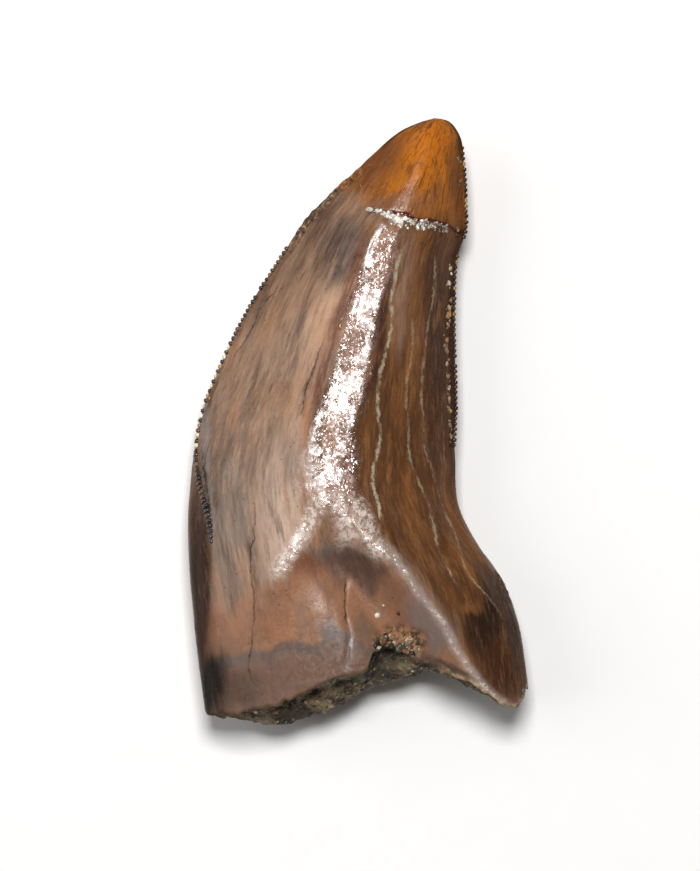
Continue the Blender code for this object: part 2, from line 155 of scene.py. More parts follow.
crownForm = {
    # share of the way from tip to root, front edge x and y, rear edge x and y
    "edges": [
        (0.00, 3.90, 15.20, 3.90, 15.20),
        (0.02, 3.21, 15.02, 4.53, 15.07),
        (0.05, 2.23, 14.59, 5.17, 14.36),
        (0.10, 0.86, 13.44, 5.46, 12.76),
        (0.16, -0.72, 12.00, 5.55, 10.81),
        (0.20, -1.74, 11.08, 5.53, 9.50),
        (0.23, -2.52, 10.28, 5.20, 8.57),
        (0.31, -4.13, 7.93, 4.97, 5.98),
        (0.39, -5.64, 5.51, 5.00, 3.38),
        (0.47, -6.89, 2.95, 5.06, 0.77),
        (0.55, -7.90, 0.30, 4.95, -1.83),
        (0.62, -8.24, -2.17, 5.05, -4.09),
        (0.69, -8.46, -4.65, 6.06, -6.12),
        (0.76, -8.40, -7.15, 7.35, -7.99),
        (0.83, -8.19, -9.64, 8.10, -10.16),
        (0.90, -7.91, -12.11, 8.46, -12.41),
        (1.00, -7.45, -15.65, 8.75, -15.65),
    ],
    # share, height of the middle, rise of the near side, drop of the far side
    "thickness": [
        (0.00, 3.60, 0.00, 0.00),
        (0.02, 3.58, 0.55, 0.45),
        (0.05, 3.52, 1.10, 0.90),
        (0.10, 3.40, 1.75, 1.40),
        (0.16, 3.25, 2.30, 1.85),
        (0.23, 3.15, 2.80, 2.30),
        (0.31, 3.10, 3.20, 2.70),
        (0.39, 3.12, 3.45, 3.06),
        (0.47, 3.18, 3.62, 3.34),
        (0.55, 3.30, 3.72, 3.50),
        (0.62, 3.40, 3.68, 3.60),
        (0.69, 3.50, 3.58, 3.72),
        (0.83, 3.70, 3.34, 3.92),
        (1.00, 3.85, 3.05, 3.80),
    ],
    # share, place across (0 front, 1 rear), height
    "crest": [
        (0.0, 0.56, 0.0), (0.12, 0.54, 0.0), (0.22, 0.525, 0.0), (0.39, 0.55, 0.0),
        (0.47, 0.545, 0.0), (0.55, 0.515, 0.0), (0.63, 0.515, 0.12), (0.69, 0.6, 0.38),
        (0.76, 0.7, 0.42), (0.83, 0.767, 0.4), (0.9, 0.838, 0.32), (0.95, 0.92, 0.22),
        (1.0, 0.96, 0.1),
    ],
    "frontFold": [
        (0.62, 0.5, 0.0), (0.69, 0.41, 0.22), (0.72, 0.365, 0.32), (0.76, 0.29, 0.34),
        (0.8, 0.235, 0.26), (0.86, 0.18, 0.1), (0.92, 0.15, 0.0),
    ],
    "rootHollow": [
        (0.65, 0.5, 0.0), (0.7, 0.49, 0.3), (0.74, 0.5, 0.6), (0.8, 0.57, 0.85),
        (0.86, 0.645, 1.05), (0.93, 0.71, 1.2), (1.0, 0.76, 1.2),
    ],
    # share, how much the crest is worn flat
    "crestFlat": [
        (0.0, 0.0), (0.12, 0.04), (0.2, 0.1), (0.28, 0.17), (0.36, 0.17), (0.5, 0.16),
        (0.6, 0.1), (0.68, 0.04), (0.76, 0.0), (1.0, 0.0),
    ],
    "flatEdge": 0.07,
    "crestSplit": 0.6,
    "halfWidths": {"crest": 1.1, "frontFold": 1.2, "rootHollow": 1.9},
    "nearFall": ((1.55, 0.92), (2.3, 0.52)),  # fullness and roundness at the tip and the root
    "farFall": ((2.2, 0.85), (2.2, 0.52)),
    "roundingShares": (0.45, 0.75),
    # shares where each blade begins, is full, fades and ends
    "frontBlade": (0.2, 0.28, 0.7, 0.76),
    "rearBlade": (0.03, 0.08, 0.52, 0.57),
    "bladeHeight": 0.18,
    "bladeTurnShares": (0.53, 0.71),
    "bladeTurn": 0.58,
    "nearBreak": [
        (-7.75, -14.1), (-7.45, -14.6), (-6.25, -14.55), (-4.1, -14.0), (-2.85, -13.5),
        (-1.1, -12.65), (0.5, -12.3), (0.8, -11.4), (1.4, -10.9), (2.15, -11.4),
        (3.4, -11.9), (4.15, -12.25), (5.15, -12.8), (6.15, -13.25), (7.15, -14.0),
        (7.9, -14.25), (8.25, -13.8), (8.45, -13.3),
    ],
    "farBreak": [
        (-7.75, -14.1), (-7.45, -14.65), (-6.9, -14.78), (-5.85, -14.75), (-4.95, -15.0),
        (-4.05, -15.2), (-3.35, -14.85), (-1.95, -14.55), (-1.05, -14.25), (0.15, -13.5),
        (0.75, -13.1), (2.25, -12.8), (3.0, -12.35), (3.75, -12.2), (4.65, -12.45),
        (5.85, -13.0), (6.45, -13.6), (7.05, -14.0), (7.65, -14.25), (8.05, -14.15),
        (8.45, -13.3),
    ],
    "wall": 1.5,
    "cavityTop": 0.7,
}


def trackThrough(rows):  # a smooth line through values given at shares
    shares = np.array([row[0] for row in rows])
    values = np.array([row[1:] for row in rows])
    gaps = np.diff(shares)[:, None]
    rates = np.diff(values, axis=0) / gaps
    slopes = np.vstack([rates[:1], rates])
    slopes[1:-1] = (rates[:-1] * gaps[1:] + rates[1:] * gaps[:-1]) / (gaps[:-1] + gaps[1:])

    def track(share):
        share = np.clip(share, shares[0], shares[-1])
        k = np.clip(np.searchsorted(shares, share) - 1, 0, len(gaps) - 1)
        gap = gaps[k]
        s = (share[..., None] - shares[k][..., None]) / gap
        return (
            values[k] * (2 * s**3 - 3 * s**2 + 1)
            + slopes[k] * ((s**3 - 2 * s**2 + s) * gap)
            + values[k + 1] * (3 * s**2 - 2 * s**3)
            + slopes[k + 1] * ((s**3 - s**2) * gap)
        )
    return track


tracks = {
    name: trackThrough(crownForm[name])
    for name in ("edges", "thickness", "crest", "frontFold", "rootHollow", "crestFlat")
}


def bladeTurnAt(share):
    return crownForm["bladeTurn"] * ramp(share, *crownForm["bladeTurnShares"])


def bladeWeights(share):  # how far the front and the rear blade stand out
    return between(share, *crownForm["frontBlade"]), between(share, *crownForm["rearBlade"])


def outOfBlade(way, angle):
    return np.concatenate([way * np.cos(angle)[..., None], np.sin(angle)[..., None]], axis=-1)


def sideRise(across, peak, fullness, roundness):
    reach = np.where(across < peak, peak, 1 - peak)
    x = np.minimum(np.abs(across - peak) / reach, 1.0)
    return (1 - x**fullness) ** roundness


def fallAt(share, fall):
    weight = ramp(share, *crownForm["roundingShares"])
    return [tip + (root - tip) * weight for tip, root in zip(*fall)]


def ridgeOn(name, share, across, width):
    row = tracks[name](share)
    away = (across - row[..., 0]) * width / crownForm["halfWidths"][name]
    height = np.where(share < crownForm[name][0][0], 0.0, np.maximum(row[..., 1], 0.0))
    return height * np.exp(-away * away)


def softMin(a, b, blend):
    part = np.clip(0.5 + 0.5 * (b - a) / blend, 0.0, 1.0)
    return b + (a - b) * part - blend * part * (1 - part)


def sectionEdges(share):  # front and rear edge with the blades taken off, the way across, the width
    row = tracks["edges"](share)
    front, rear = row[..., :2], row[..., 2:]
    width = np.maximum(np.linalg.norm(rear - front, axis=-1), 0.001)[..., None]
    way = (rear - front) / width
    frontBlade, rearBlade = bladeWeights(share)
    onOutline = 1 - ramp(bladeTurnAt(share), 0.0, 0.3)
    inset = np.minimum(crownForm["bladeHeight"], width * 0.1)
    front = front + way * inset * (frontBlade * onOutline)[..., None]
    rear = rear - way * inset * rearBlade[..., None]
    return front, rear, way, np.linalg.norm(rear - front, axis=-1)


def crownPoint(angle, share, inset=0.0):  # angle 0 rear edge, pi front edge over the near side
    front, rear, _, width = sectionEdges(share)
    middle, nearRise, farDrop = np.moveaxis(tracks["thickness"](share), -1, 0)
    across = (1 + np.cos(angle)) / 2
    peak = tracks["crest"](np.minimum(share, crownForm["crestSplit"]))[..., 0]
    near = nearRise * sideRise(across, peak, *fallAt(share, crownForm["nearFall"]))
    worn = np.maximum(tracks["crestFlat"](share)[..., 0], 0.0)
    near = softMin(near, nearRise - worn, crownForm["flatEdge"] * np.minimum(worn / 0.1, 1.0) + 1e-6)
    fade = sideRise(across, 0.5, 4, 1)
    for name, way in (("crest", 1), ("frontFold", 1), ("rootHollow", -1)):
        near += way * fade * ridgeOn(name, share, across, width)
    far = -farDrop * sideRise(across, 0.5, *fallAt(share, crownForm["farFall"]))
    height = np.where(np.sin(angle) >= 0, near, far)
    if inset:
        height = height * (1 - inset / np.where(height > 0, nearRise, farDrop))
    placeAcross = 0.5 + (across - 0.5) * (1 - 2 * inset / np.maximum(width, 0.001))
    flat = front + (rear - front) * placeAcross[..., None]
    return np.concatenate([flat, np.maximum(middle + height, 0.0)[..., None]], axis=-1)


def breakHeight(x, side):
    near = np.interp(x, *zip(*crownForm["nearBreak"]))
    far = np.interp(x, *zip(*crownForm["farBreak"]))
    return far + (near - far) * ramp(side, -0.7, 0.7)


def breakShare(angle, inset=0.0, ragged=0.0):  # where a column meets the broken edge
    low, high = np.full(angle.shape, 0.75), np.ones(angle.shape)
    for _ in range(24):
        share = (low + high) / 2
        place = crownPoint(angle, share, inset)
        above = place[..., 1] > breakHeight(place[..., 0], np.sin(angle)) + ragged
        low, high = np.where(above, share, low), np.where(above, high, share)
    return low


# lines on the near side, each from its top down, in mm

markLines = {
    "crest": [
        (3.65, 15.2), (3.45, 13.1), (2.1, 10.35), (1.45, 9.1), (0.65, 6.6), (0.1, 4.2),
        (-0.45, 1.8), (-1.2, -0.8), (-1.35, -3.6), (-0.2, -5.4), (1.9, -6.7),
        (2.65, -7.85), (4.15, -9.8), (5.15, -11.65), (5.95, -12.55), (7.9, -14.05),
    ],
    "veins": [
        {"width": 0.095, "amount": 0.8, "line": [
            (2.35, 8.7), (2.0, 7.85), (1.85, 6.8), (1.65, 5.95), (1.75, 5.4), (1.4, 3.35),
            (1.15, 2.4), (1.0, 1.2), (1.15, -0.9), (0.75, -2.7), (1.1, -4.3), (1.15, -5.1)]},
        {"width": 0.075, "amount": 0.42, "line": [
            (2.75, 5.1), (2.7, 3.1), (2.5, 2.3), (2.45, 0.95), (2.55, -0.1), (2.65, -1.95),
            (3.05, -2.95), (3.4, -3.7), (3.85, -5.3), (4.0, -6.15), (4.4, -7.1),
            (5.05, -8.25)]},
        {"width": 0.065, "amount": 0.38, "line": [
            (3.9, 8.35), (3.8, 6.3), (3.6, 5.1), (3.42, 4.2), (3.35, 3.4), (3.2, 1.45),
            (3.35, -0.6), (3.3, -1.15), (3.7, -2.25), (4.2, -4.05), (4.9, -5.65),
            (5.55, -7.55), (6.65, -8.85), (7.2, -9.7)]},
        {"width": 0.065, "amount": 0.55, "line": [
            (1.0, 9.65), (0.7, 9.0), (0.45, 8.35), (0.25, 7.95)]},
    ],
    "cracks": [
        {"width": 0.09, "line": [(-7.75, -1.4), (-7.55, -3.2), (-7.35, -4.6), (-7.3, -5.75)]},
        {"width": 0.05, "line": [(-1.6, 4.2), (-2.25, 2.35), (-2.6, 1.25), (-2.7, 0.3)]},
        {"width": 0.055, "line": [(-3.4, 6.9), (-4.75, 5.8), (-5.35, 4.5), (-6.15, 3.25)]},
        {"width": 0.05, "line": [
            (-5.1, -3.65), (-5.1, -5.4), (-5.3, -6.75), (-5.1, -8.35), (-5.2, -10.75),
            (-5.3, -12.5), (-4.8, -13.3)]},
        {"width": 0.045, "line": [(-0.5, -7.6), (-0.6, -9.4), (-0.35, -10.6), (-0.6, -12.3)]},
    ],
    # soft bands of colour, the last two of them painted sheen
    "bands": [
        {"width": 0.6, "amount": 0.55, "colour": (0.44, 0.265, 0.165), "line": [
            (-0.85, 6.85), (-1.75, 4.85), (-2.45, 2.85), (-2.95, 1.1), (-3.35, -0.9)]},
        {"width": 0.42, "amount": 0.8, "colour": (0.125, 0.038, 0.016), "line": [
            (0.45, 9.35), (0.05, 8.0), (-0.45, 6.35), (-1.05, 4.85), (-1.55, 3.35), (-1.95, 1.85),
            (-2.45, 0.85)]},
        {"width": 0.22, "amount": 0.75, "colour": (0.34, 0.125, 0.04), "line": [
            (-2.25, 1.4), (-2.55, 0.1), (-2.7, -1.2)]},
        {"width": 0.26, "amount": 0.85, "colour": (0.052, 0.019, 0.012), "line": [
            (2.05, 9.1), (1.75, 8.0), (1.5, 6.6), (1.2, 4.6), (0.9, 2.85), (0.6, 1.6),
            (0.25, -0.4)]},
        {"width": 0.35, "amount": 0.6, "colour": (0.18, 0.068, 0.02), "line": [
            (3.1, 8.6), (2.95, 6.2), (2.75, 3.5), (2.1, 1.0), (2.2, -1.6), (2.8, -4.4)]},
        # painted sheen on the slope beside the rear ridge of the foot
        {"width": 0.5, "amount": 0.6, "colour": (0.27, 0.205, 0.18), "line": [
            (1.9, -6.7), (2.9, -8.5), (3.9, -9.9), (4.6, -11.1), (5.3, -12.2), (6.6, -13.5)]},
        # painted sheen along the rounded front edge
        {"width": 0.26, "amount": 0.8, "colour": (0.215, 0.19, 0.175), "line": [
            (-7.55, 1.6), (-7.62, -0.4), (-7.5, -2.6), (-7.15, -5.4)]},
    ],
    # where the shine breaks up into glints: down the crest, and along the rear ridge of the foot
    "glints": [
        (2.05, 10.6), (1.6, 9.1), (0.8, 6.8), (0.2, 5.15), (-0.1, 3.6), (-0.2, 2.6),
        (-0.5, 1.2), (-1.0, -0.4), (-0.95, -1.55), (-0.85, -2.7), (-0.75, -3.7),
        (-0.6, -4.5), (-0.45, -5.9),
    ],
    # where the glints' legs run: pale painted highlight specks over real glints
    "glintLegs": [
        [(-1.5, -3.4), (-2.1, -4.4), (-2.55, -5.4), (-3.4, -6.6), (-3.95, -7.75)],
        [(-0.3, -3.6), (0.2, -4.4), (0.5, -5.2), (0.8, -6.0), (1.2, -6.9)],
        [(-1.0, -3.3), (-0.75, -4.2), (-0.5, -5.2), (-0.4, -6.1)],
    ],
    # painted shade along the dark edge of the broken foot
    "rimShade": {"width": 0.6, "amount": 0.85, "line": [
        (2.9, -11.3), (3.55, -11.7), (4.45, -12.15), (5.25, -12.5), (6.0, -12.9)]},
    # the rear ridge of the foot: a painted highlight line with a painted glow, over real glints
    "ridgeHighlight": [
        (1.1, -5.6), (2.1, -7.0), (3.05, -8.5), (4.15, -9.8), (4.85, -11.1), (5.55, -12.2),
        (6.55, -13.3), (7.75, -14.15),
    ],
    # across the tip, from left to right
    "tipCrack": [(0.4, 10.7), (0.65, 10.55), (1.75, 10.4), (2.5, 10.3), (3.0, 10.05),
                 (3.45, 10.05), (4.2, 9.9), (4.9, 9.6)],
    "tipCrackFoot": [(0.4, 10.5), (0.85, 10.35), (1.4, 10.1), (1.75, 9.75), (2.4, 9.55),
                     (3.2, 9.45), (4.45, 9.4), (4.9, 9.3)],
}


def gapToLine(places, line):  # sideways distance to a line that runs down the tooth
    xs, ys = zip(*sorted(line, key=lambda spot: spot[1]))
    gap = np.abs(places[..., 0] - np.interp(places[..., 1], ys, xs))
    return gap, between(places[..., 1], ys[0] - 0.1, ys[0] + 0.5, ys[-1] - 0.5, ys[-1] + 0.1)


# the crown

crownSkin = {
    "nearColumns": 192,
    "farColumns": 120,
    "skinRows": 232,
    "rimRows": 12,
    "cavityRows": 12,
    # layers of lumps: height, size and seed of each
    "swell": [(0.03, 2.6, 1.7)],  # slow unevenness of the surface
    "ribs": [(0.01, (0.42, 7.0, 0.9), 5.3), (0.006, (0.21, 3.5, 0.5), 9.1)],  # along the tooth
    "peel": [(0.006, 0.34, 2.2), (0.0042, 0.17, 4.4)],  # breaks up the shine
    "tipWrinkles": [(0.022, (0.42, 2.6, 0.42), 7.7)],
    "ragged": [(0.17, 0.45, 3.1), (0.102, 0.2, 8.2)],  # of the broken edge
    "breakLumps": [(0.22, 0.55, 2.9), (0.132, 0.24, 4.7)],
    "crackWobble": [(0.12, 0.5, 6.6)],
    "crackFloor": [(0.4, 0.3, 1.1)],
    "chips": [(1.0, 0.28, 5.9), (1.0, 0.6, 1.9)],
    "rawLumps": [(1.0, 0.3, 7.3), (0.5, 0.14, 3.3)],
    # height and half width
    "veins": (0.012, 0.11),
    "cracks": (-0.05, 0.1),
    "tipShares": (0.1, 0.21),
    "tipCrackDepth": 0.17,
    "tipCrackSoft": (0.25, 0.15, 0.08, 0.06),  # below and above its foot, below and above its top
    "tipCrackStart": (0.2, 0.9),
    "chippedReach": (0.3, 1.1),
    "chippedShares": (0.1, 0.14, 0.26, 0.31),
    "chippedDepth": 0.09,
    "raw": [               # places where the surface is broken rough
        {"at": (2.1, -10.95), "size": (1.35, 0.85), "depth": 0.22},
        {"at": (7.25, -8.2), "size": (0.5, 1.2), "depth": 0.11},
        {"at": (7.6, -11.6), "size": (0.55, 2.0), "depth": 0.07},
    ],
    "rawSoft": (0.7, 1.2),
    "smoothTip": 0.012,
    "ridgeWidth": 0.15,
    "ridgeShare": 0.55,    # of the blade's height, under the denticles
    "rowPower": 1.12,      # rows are closer at the tip
    "raggedShare": 0.93,
    "patternWidth": (4, 0.6),
    "patternLength": 31,
    "patternJump": 40,     # from the skin's pattern to the broken edge's
    "widestGap": 3.0,
    "cavityRound": (1.5, 0.7),
    "cavityPoint": 0.4,
}


def columnAngles(share):  # share has one column for each column of the crown
    near, far = crownSkin["nearColumns"], crownSkin["farColumns"]
    column = np.arange(near + far)
    blade = pi - bladeTurnAt(share)
    return np.where(
        column <= near,
        blade * column / near,
        blade + (2 * pi - blade) * (column - near) / far,
    )


def gapToColumn(grid, column):  # distance along each row from a column, the shorter way round
    steps = np.linalg.norm(np.roll(grid, -1, axis=1) - grid, axis=-1)
    forward = np.cumsum(np.roll(steps, -column, axis=1), axis=1)
    total = forward[:, -1:]
    forward = np.hstack([np.zeros_like(total), forward[:, :-1]])
    return np.roll(np.minimum(forward, total - forward), column, axis=1)


def outwardOf(grid):  # unit normals of a grid of places
    down = np.gradient(grid, axis=0)
    normal = np.cross(np.roll(grid, -1, axis=1) - np.roll(grid, 1, axis=1), down)
    normal /= np.maximum(np.linalg.norm(normal, axis=-1), 1e-9)[..., None]
    middle = grid.mean(axis=1, keepdims=True)
    return normal * np.sign(np.sum(normal * (grid - middle)))


def skinRelief(skin, straight, share, near, frontGap):
    height = relief(skin, crownSkin["swell"])
    height += relief(straight, crownSkin["ribs"])
    height += relief(skin, crownSkin["peel"])
    height += (1 - ramp(share, *crownSkin["tipShares"])) * relief(straight, crownSkin["tipWrinkles"])
    for group in ("veins", "cracks"):
        rise, halfWidth = crownSkin[group]
        for mark in markLines[group]:
            gap, inside = gapToLine(skin, mark["line"])
            height += near * inside * rise * np.exp(-(gap / halfWidth) ** 2)
    x, y = skin[..., 0], skin[..., 1]
    wobble = relief(skin, crownSkin["crackWobble"])
    top, foot = (np.interp(x, *zip(*markLines[name])) + wobble for name in ("tipCrack", "tipCrackFoot"))
    soft = crownSkin["tipCrackSoft"]
    inCrack = between(y, foot - soft[0], foot + soft[1], top - soft[2], top + soft[3]) * near
    inCrack = inCrack * ramp(x, *crownSkin["tipCrackStart"])
    height -= crownSkin["tipCrackDepth"] * inCrack * (0.8 + relief(skin, crownSkin["crackFloor"]))
    chipped = between(share, *crownSkin["chippedShares"]) * (1 - ramp(frontGap, *crownSkin["chippedReach"]))
    height -= crownSkin["chippedDepth"] * chipped * np.maximum(relief(skin, crownSkin["chips"]), -0.3)
    broken = 0.3 + relief(skin, crownSkin["rawLumps"])
    for spot in crownSkin["raw"]:
        away = (skin[..., :2] - np.array(spot["at"])) / np.array(spot["size"])
        inSpot = near * (1 - ramp(np.linalg.norm(away, axis=-1), *crownSkin["rawSoft"]))
        height -= spot["depth"] * inSpot * broken
    return height * ramp(share, 0.0, crownSkin["smoothTip"])


def makeCrown():
    columns = crownSkin["nearColumns"] + crownSkin["farColumns"]
    rows = crownSkin["skinRows"]
    wall = crownForm["wall"]
    endAngle = columnAngles(np.ones(columns))
    ragged = relief(crownPoint(endAngle, np.full(columns, crownSkin["raggedShare"])), crownSkin["ragged"])
    end = breakShare(endAngle, 0.0, ragged)
    mouth = breakShare(endAngle, wall)

    # the skin, from the tip to the broken edge
    share = (np.arange(rows + 1)[:, None] / rows) ** crownSkin["rowPower"] * end[None, :]
    angle = columnAngles(share)
    skin = crownPoint(angle, share)
    _, _, way, width = sectionEdges(share)
    rearGap = gapToColumn(skin, 0)
    frontGap = gapToColumn(skin, crownSkin["nearColumns"])
    least, growth = crownSkin["patternWidth"]
    side = np.cos(angle) / 2 * (least + growth * width)
    straight = np.stack([side, share * crownSkin["patternLength"], skin[..., 2]], axis=-1)
    near = ramp(np.sin(angle), -0.15, 0.15)
    height = skinRelief(skin, straight, share, near, frontGap)
    skin = skin + outwardOf(skin) * height[..., None]

    # both blades
    for gap, weight in zip((frontGap, rearGap), bladeWeights(share)):
        ridge = crownForm["bladeHeight"] * crownSkin["ridgeShare"] * weight
        ridge = ridge * np.exp(-(gap / crownSkin["ridgeWidth"]) ** 2)
        skin = skin + outOfBlade(way, angle) * ridge[..., None]

    # the broken edge, and the wall of the root cavity
    inner = crownPoint(endAngle, mouth, wall)
    t = (np.arange(1, crownSkin["rimRows"] + 1) / crownSkin["rimRows"])[:, None, None]
    rim = skin[-1] + (inner - skin[-1]) * t
    rim[..., 1] += relief(rim, crownSkin["breakLumps"]) * np.sin(pi * t[..., 0])
    depth = (np.arange(1, crownSkin["cavityRows"] + 1) / (crownSkin["cavityRows"] + 1))[:, None]
    cavityShare = mouth + (crownForm["cavityTop"] - mouth) * depth
    front, rear = sectionEdges(cavityShare)[:2]
    centre = np.concatenate([(front + rear) / 2, tracks["thickness"](cavityShare)[..., :1]], axis=-1)
    wallPoint = crownPoint(np.broadcast_to(endAngle, cavityShare.shape), cavityShare, wall)
    fullness, roundness = crownSkin["cavityRound"]
    cavity = centre + (wallPoint - centre) * ((1 - depth**fullness) ** roundness)[..., None]

    low, high = np.array(cadBox[0]) / mm, np.array(cadBox[1]) / mm
    stack = np.clip(np.concatenate([skin[1:], rim, cavity]), low, high)
    rings = len(stack)

    # a ball with as many rings, each of its corners moved to its place
    pick()
    bpy.ops.mesh.primitive_uv_sphere_add(segments=columns, ring_count=rings + 1, radius=1.0)
    piece = newest("toothCrown")
    ball = np.empty(len(piece.data.vertices) * 3)
    piece.data.vertices.foreach_get("co", ball)
    ball = ball.reshape(-1, 3)
    ring = np.rint(np.arccos(np.clip(ball[:, 2], -1, 1)) / pi * (rings + 1)).astype(int)
    column = np.rint(np.arctan2(ball[:, 1], ball[:, 0]) / (2 * pi) * columns).astype(int) % columns
    inside = np.clip(ring, 1, rings) - 1
    placed = stack[inside, column]
    placed[ring == 0] = skin[0, 0]
    placed[ring == rings + 1] = cavity[-1].mean(axis=0) + np.array([0.0, crownSkin["cavityPoint"], 0.0])
    piece.data.vertices.foreach_set("co", (placed * mm).ravel())

    # what the enamel reads at each corner
    onSkin = inside < rows
    row = np.minimum(inside + 1, rows)
    marks = {
        "skin": onSkin,
        "near": near[row, column],
        "rearGap": np.minimum(rearGap[row, column], crownSkin["widestGap"]),
        "frontGap": np.minimum(frontGap[row, column], crownSkin["widestGap"]),
        "share": share[row, column],
    }
    for name, values in marks.items():
        mark = piece.data.attributes.new(name, "FLOAT", "POINT")
        mark.data.foreach_set("value", values.astype(np.float32))
    mark = piece.data.attributes.new("straight", "FLOAT_VECTOR", "POINT")
    along = np.where(onSkin[:, None], straight[row, column], placed + crownSkin["patternJump"])
    mark.data.foreach_set("vector", along.astype(np.float32).ravel())
    piece.data.update()
    smoothSkin(piece)
    return piece


# node helpers: they add to the tree of the material that was started last, and a value is a
# number, a colour or another node's output

tree = None


def startMaterial(name):
    global tree
    material = bpy.data.materials.new(name)
    material.use_nodes = True
    tree = material.node_tree
    return material, tree.nodes["Principled BSDF"].inputs


def feed(socket, value):
    if isinstance(value, bpy.types.NodeSocket):
        tree.links.new(value, socket)
    else:
        socket.default_value = value


def figure(operation, *values):
    node = tree.nodes.new("ShaderNodeMath")
    node.operation = operation
    for socket, value in zip(node.inputs, values):
        feed(socket, value)
    return node.outputs[0]


def chain(operation, values):
    total = values[0]
    for value in values[1:]:
        total = figure(operation, total, value)
    return total


def times(*values):
    return chain("MULTIPLY", values)


def plus(*values):
    return chain("ADD", values)


def less(a, b):
    return figure("SUBTRACT", a, b)


def anyOf(*masks):
    return chain("MAXIMUM", masks)


def fewer(mask, loss):  # 1 where the mask is 0, less by the loss where it is 1
    return figure("MULTIPLY_ADD", mask, -loss, 1.0)


def rise(value, low, high, bottom=0.0, top=1.0):
    node = tree.nodes.new("ShaderNodeMapRange")
    node.interpolation_type = "SMOOTHSTEP"
    for socket, number in zip(node.inputs, (value, low, high, bottom, top)):
        feed(socket, number)
    return node.outputs[0]


def paint(amount, under, over):
    node = tree.nodes.new("ShaderNodeMix")
    node.data_type = "RGBA"
    node.clamp_factor = True
    feed(node.inputs[0], amount)
    for socket, colour in ((node.inputs[6], under), (node.inputs[7], over)):
        feed(socket, colour if isinstance(colour, bpy.types.NodeSocket) else (*colour, 1.0))
    return node.outputs[2]


def vectorOf(operation, a, b):
    node = tree.nodes.new("ShaderNodeVectorMath")
    node.operation = operation
    feed(node.inputs[0], a)
    feed(node.inputs[3 if operation == "SCALE" else 1], b)
    return node.outputs["Value" if operation in ("DISTANCE", "DOT_PRODUCT") else "Vector"]


def marked(name, kind="Fac"):
    node = tree.nodes.new("ShaderNodeAttribute")
    node.attribute_name = name
    return node.outputs[kind]


def noiseOf(place, scale, detail=2.0, roughness=0.5, output=0):
    if not isinstance(scale, (int, float)):
        place, scale = vectorOf("MULTIPLY", place, scale), 1.0
    node = tree.nodes.new("ShaderNodeTexNoise")
    feed(node.inputs["Vector"], place)
    node.inputs["Scale"].default_value = scale
    node.inputs["Detail"].default_value = detail
    node.inputs["Roughness"].default_value = roughness
    return node.outputs[output]


def cellsOf(place, scale, feature="F1"):
    node = tree.nodes.new("ShaderNodeTexVoronoi")
    node.feature = feature
    feed(node.inputs["Vector"], place)
    node.inputs["Scale"].default_value = scale
    return node.outputs


def facetsOf(place, scale):  # a height that tilts each small cell its own way
    cells = cellsOf(place, scale)
    tilt = vectorOf("SUBTRACT", cells["Color"], (0.5, 0.5, 0.5))
    return vectorOf("DOT_PRODUCT", tilt, vectorOf("SUBTRACT", place, cells["Position"]))


def lineAt(value, line, down=True):  # x of a line at a height, or its height at x
    low, span = -16.0, 32.0
    node = tree.nodes.new("ShaderNodeFloatCurve")
    curve = node.mapping.curves[0]
    spots = [((y, x) if down else (x, y)) for x, y in line]
    spots = sorted(((a - low) / span, (b - low) / span) for a, b in spots)
    curve.points[0].location = spots[0]
    curve.points[1].location = spots[-1]
    for spot in spots[1:-1]:
        curve.points.new(*spot)
    node.mapping.update()
    feed(node.inputs["Value"], figure("DIVIDE", less(value, low), span))
    return figure("MULTIPLY_ADD", node.outputs[0], span, low)


def placeInMm():
    node = tree.nodes.new("ShaderNodeTexCoord")
    return vectorOf("SCALE", node.outputs["Object"], 1 / mm)


def split(vector):
    node = tree.nodes.new("ShaderNodeSeparateXYZ")
    feed(node.inputs[0], vector)
    return tuple(node.outputs)


def flatPlace(x, y):
    node = tree.nodes.new("ShaderNodeCombineXYZ")
    feed(node.inputs[0], x)
    feed(node.inputs[1], y)
    return node.outputs[0]


def pushed(place, texture, reach):  # x and y of a place that a noise pushes about
    push = vectorOf("MULTIPLY", vectorOf("SUBTRACT", texture, (0.5, 0.5, 0.5)), reach)
    return split(vectorOf("ADD", place, push))[:2]


def stainMask(place, at, size, turn=0.0, soft=0.5, amount=1.0):  # a soft oval round a place
    turn = radians(turn)
    across = (cos(turn) / size[0], sin(turn) / size[0], 0.0)
    along = (-sin(turn) / size[1], cos(turn) / size[1], 0.0)
    middle = [way[0] * at[0] + way[1] * at[1] for way in (across, along)]
    turned = flatPlace(*(vectorOf("DOT_PRODUCT", place, way) for way in (across, along)))
    return rise(vectorOf("DISTANCE", turned, (*middle, 0.0)), 1 + soft, 1 - soft, 0.0, amount)


def bandMask(x, y, line, width):  # a soft line that runs down the tooth
    gap = figure("ABSOLUTE", less(x, lineAt(y, line)))
    core = rise(gap, width * 1.3, width * 0.3)
    low, high = min(spot[1] for spot in line), max(spot[1] for spot in line)
    return times(core, rise(y, low - 0.3, low + 0.7), rise(y, high + 0.3, high - 0.7))


def bumpOf(height, distance, normal=None, strength=1.0):
    node = tree.nodes.new("ShaderNodeBump")
    feed(node.inputs["Strength"], strength)
    node.inputs["Distance"].default_value = distance * mm
    feed(node.inputs["Height"], height)
    if normal is not None:
        feed(node.inputs["Normal"], normal)
    return node.outputs[0]


# the fossil enamel

